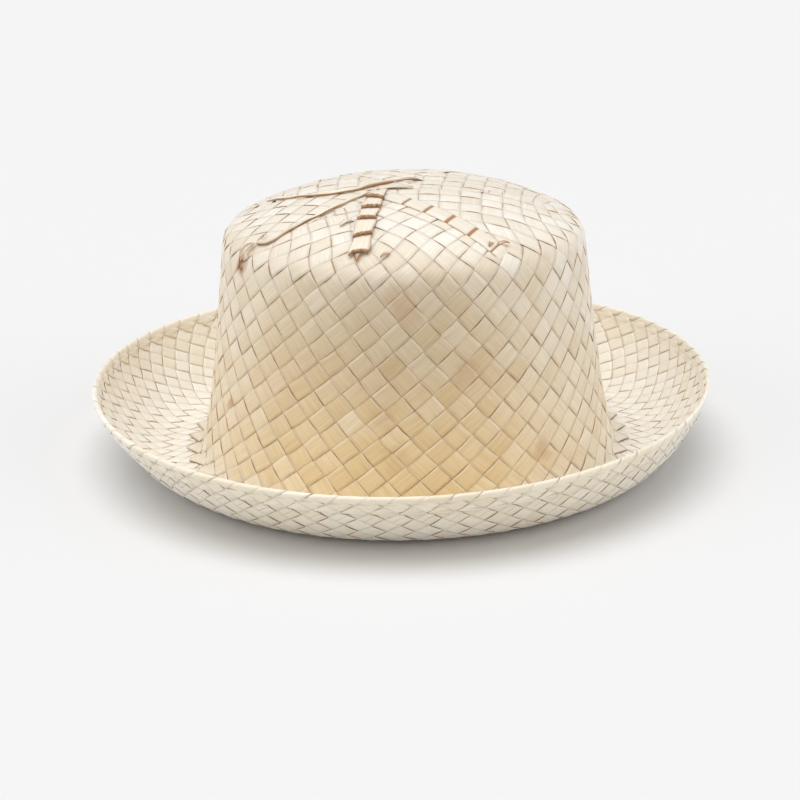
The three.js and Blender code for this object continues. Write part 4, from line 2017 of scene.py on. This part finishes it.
@dataclass(frozen=True)
class Studio:
    """A pale floor, soft lights all round and the camera."""

    elevation: float = 19.5
    distance: float = 0.968
    aim: tuple[float, float, float] = (0.0025, 0.0, 0.003)
    lens: float = 99.0
    roll: float = 0.021
    principal: tuple[float, float] = (407.84, 433.03)
    lamps: tuple[tuple[str, tuple[float, float, float], float, float], ...] = (
        ("top_light", (-0.1, 0.05, 1.0), 55.0, 1.87),
        ("left_light", (-1.0, -0.25, 0.3), 70.0, 0.85),
        ("right_light", (1.0, -0.25, 0.3), 70.0, 0.9),
    )
    surround: float = 0.46
    floor_half: float = 6.0

    def camera(self) -> None:
        """Sets the camera on its circle round the aim point, turned down by elevation and rolled by roll."""
        down = math.radians(self.elevation)
        data = bpy.data.cameras.new("view")
        data.lens = self.lens
        data.sensor_width = 36.0
        data.shift_x = (IMAGE_SIDE / 2 - self.principal[0]) / IMAGE_SIDE
        data.shift_y = (self.principal[1] - IMAGE_SIDE / 2) / IMAGE_SIDE
        data.clip_start, data.clip_end = 0.01, 50.0
        camera = link("view", data)
        x, y, z = self.aim
        camera.location = (x, y - self.distance * math.cos(down), z + self.distance * math.sin(down))
        camera.rotation_mode = "XYZ"
        turned = Euler((math.pi / 2 - down, 0.0, 0.0)).to_matrix() @ Matrix.Rotation(-self.roll, 3, "Z")
        camera.rotation_euler = turned.to_euler("XYZ")
        bpy.context.scene.camera = camera

    def light(self, name: str, place: tuple[float, float, float], spread: float, power: float) -> None:
        """Adds a wide, far-off soft light.

        Args:
            name: Its name.
            place: The direction that it comes from.
            spread: The angle that it fills, in degrees.
            power: Its power on a face that looks at it.
        """
        data = bpy.data.lights.new(name, "SUN")
        data.angle = math.radians(spread)
        data.energy = power
        lamp = link(name, data)
        lamp.rotation_euler = Vector(place).to_track_quat("Z", "Y").to_euler()

    def build(self) -> None:
        """Builds the floor, the lights, the surround and the camera."""
        self.camera()
        for lamp in self.lamps:
            self.light(*lamp)
        world = bpy.data.worlds.new("surround")
        world.use_nodes = True
        background = world.node_tree.nodes["Background"]
        background.inputs["Color"].default_value = (1.0, 1.0, 1.0, 1.0)
        background.inputs["Strength"].default_value = self.surround
        bpy.context.scene.world = world
        bpy.context.scene.view_settings.view_transform = "Standard"
        mesh = bpy.data.meshes.new("floor")
        half = self.floor_half
        square = [(-half, -half, 0), (half, -half, 0), (half, half, 0), (-half, half, 0)]
        mesh.from_pydata(square, [], [(0, 1, 2, 3)])
        floor = link("floor", mesh)
        material, shader = new_material("floor_paint")
        shader.inputs["Base Color"].default_value = (0.75, 0.75, 0.755, 1.0)
        shader.inputs["Roughness"].default_value = 0.9
        mesh.materials.append(material)


def main() -> None:
    """Builds the studio and every part of the hat in order."""
    logging.basicConfig(level=logging.INFO, format="%(name)s: %(message)s")
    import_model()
    Studio().build()
    form = HatForm()
    group = StrawGroup()
    brown = linear(176, 126, 72)
    # brown painted on the strips' side walls as the shade in the gaps between strips
    edge = painted_shade_edge("straw_edge_painted_shade", linear(196, 150, 98))
    crown_finish = StrawFinish(
        "crown_palm_straw", linear(253, 251, 245), linear(246, 224, 180), linear(236, 227, 211), brown
    )
    brim_finish = StrawFinish(
        "brim_palm_straw",
        linear(254, 252, 246),
        linear(248, 235, 206),
        linear(240, 232, 216),
        brown,
        streak_share=0.2,
        thread_share=0.18,
        blotch_share=0.2,
        tone_share=0.22,
    )
    fold_finish = StrawFinish(
        "folded_palm_straw",
        linear(253, 249, 240),
        linear(240, 214, 168),
        linear(236, 224, 200),
        linear(168, 112, 52),
    )
    crown_coat = Coat(crown_finish.build(group), edge)
    brim_coat = Coat(brim_finish.build(group), edge)
    fold_coat = Coat(fold_finish.build(group), edge)
    crown = Crown(form)
    surface = TipSurface(form, crown.side.profile)
    left_route = (
        (-60.0, -40.5),
        (-55.5, -44.2),
        (-44.5, -39.0),
        (-30.0, -30.0),
        (-18.0, -18.5),
        (-13.0, -13.0),
    )
    back_route = (
        (-58.5, 12.0),
        (-50.0, 2.5),
        (-41.5, -3.5),
        (-28.0, -9.5),
        (-20.0, -8.0),
        (-9.5, -0.5),
        (-2.0, 4.5),
        (7.5, 7.5),
    )
    strands = ((200.0, 7.0, 1.6), (250.0, 5.0, -1.2), (160.0, 6.5, 0.9), (20.0, 6.0, 0.8))
    pieces = [
        *crown.build(crown_coat),
        *SlotRow(surface).build(crown_coat, fold_coat),
        TornEnds(surface).build(fold_coat),
        *Brim(form).build(brim_coat),
        LadderFold(surface).build(fold_coat),
        RolledFold(
            surface,
            "left_rolled_fold",
            "pleat_left",
            left_route,
            (2.1, 1.5, 1.5, 1.5, 1.2),
            (0.3, 0.0, 0.0, 0.0, 0.1),
            strands=strands,
        ).build(fold_coat),
        RolledFold(
            surface,
            "back_left_rolled_fold",
            "pleat_back_left",
            back_route,
            (1.2, 1.2, 1.2, 1.3, 2.0, 2.0, 1.5, 1.4),
            (0.1, 0.0, 0.0, 0.0, 0.1, 0.25, 0.3, 0.9),
            seed=9,
        ).build(fold_coat),
    ]
    for piece in pieces:
        log.info("%s: %d faces before its wall", piece.name, len(piece.data.polygons))


if __name__ == "__main__":
    main()
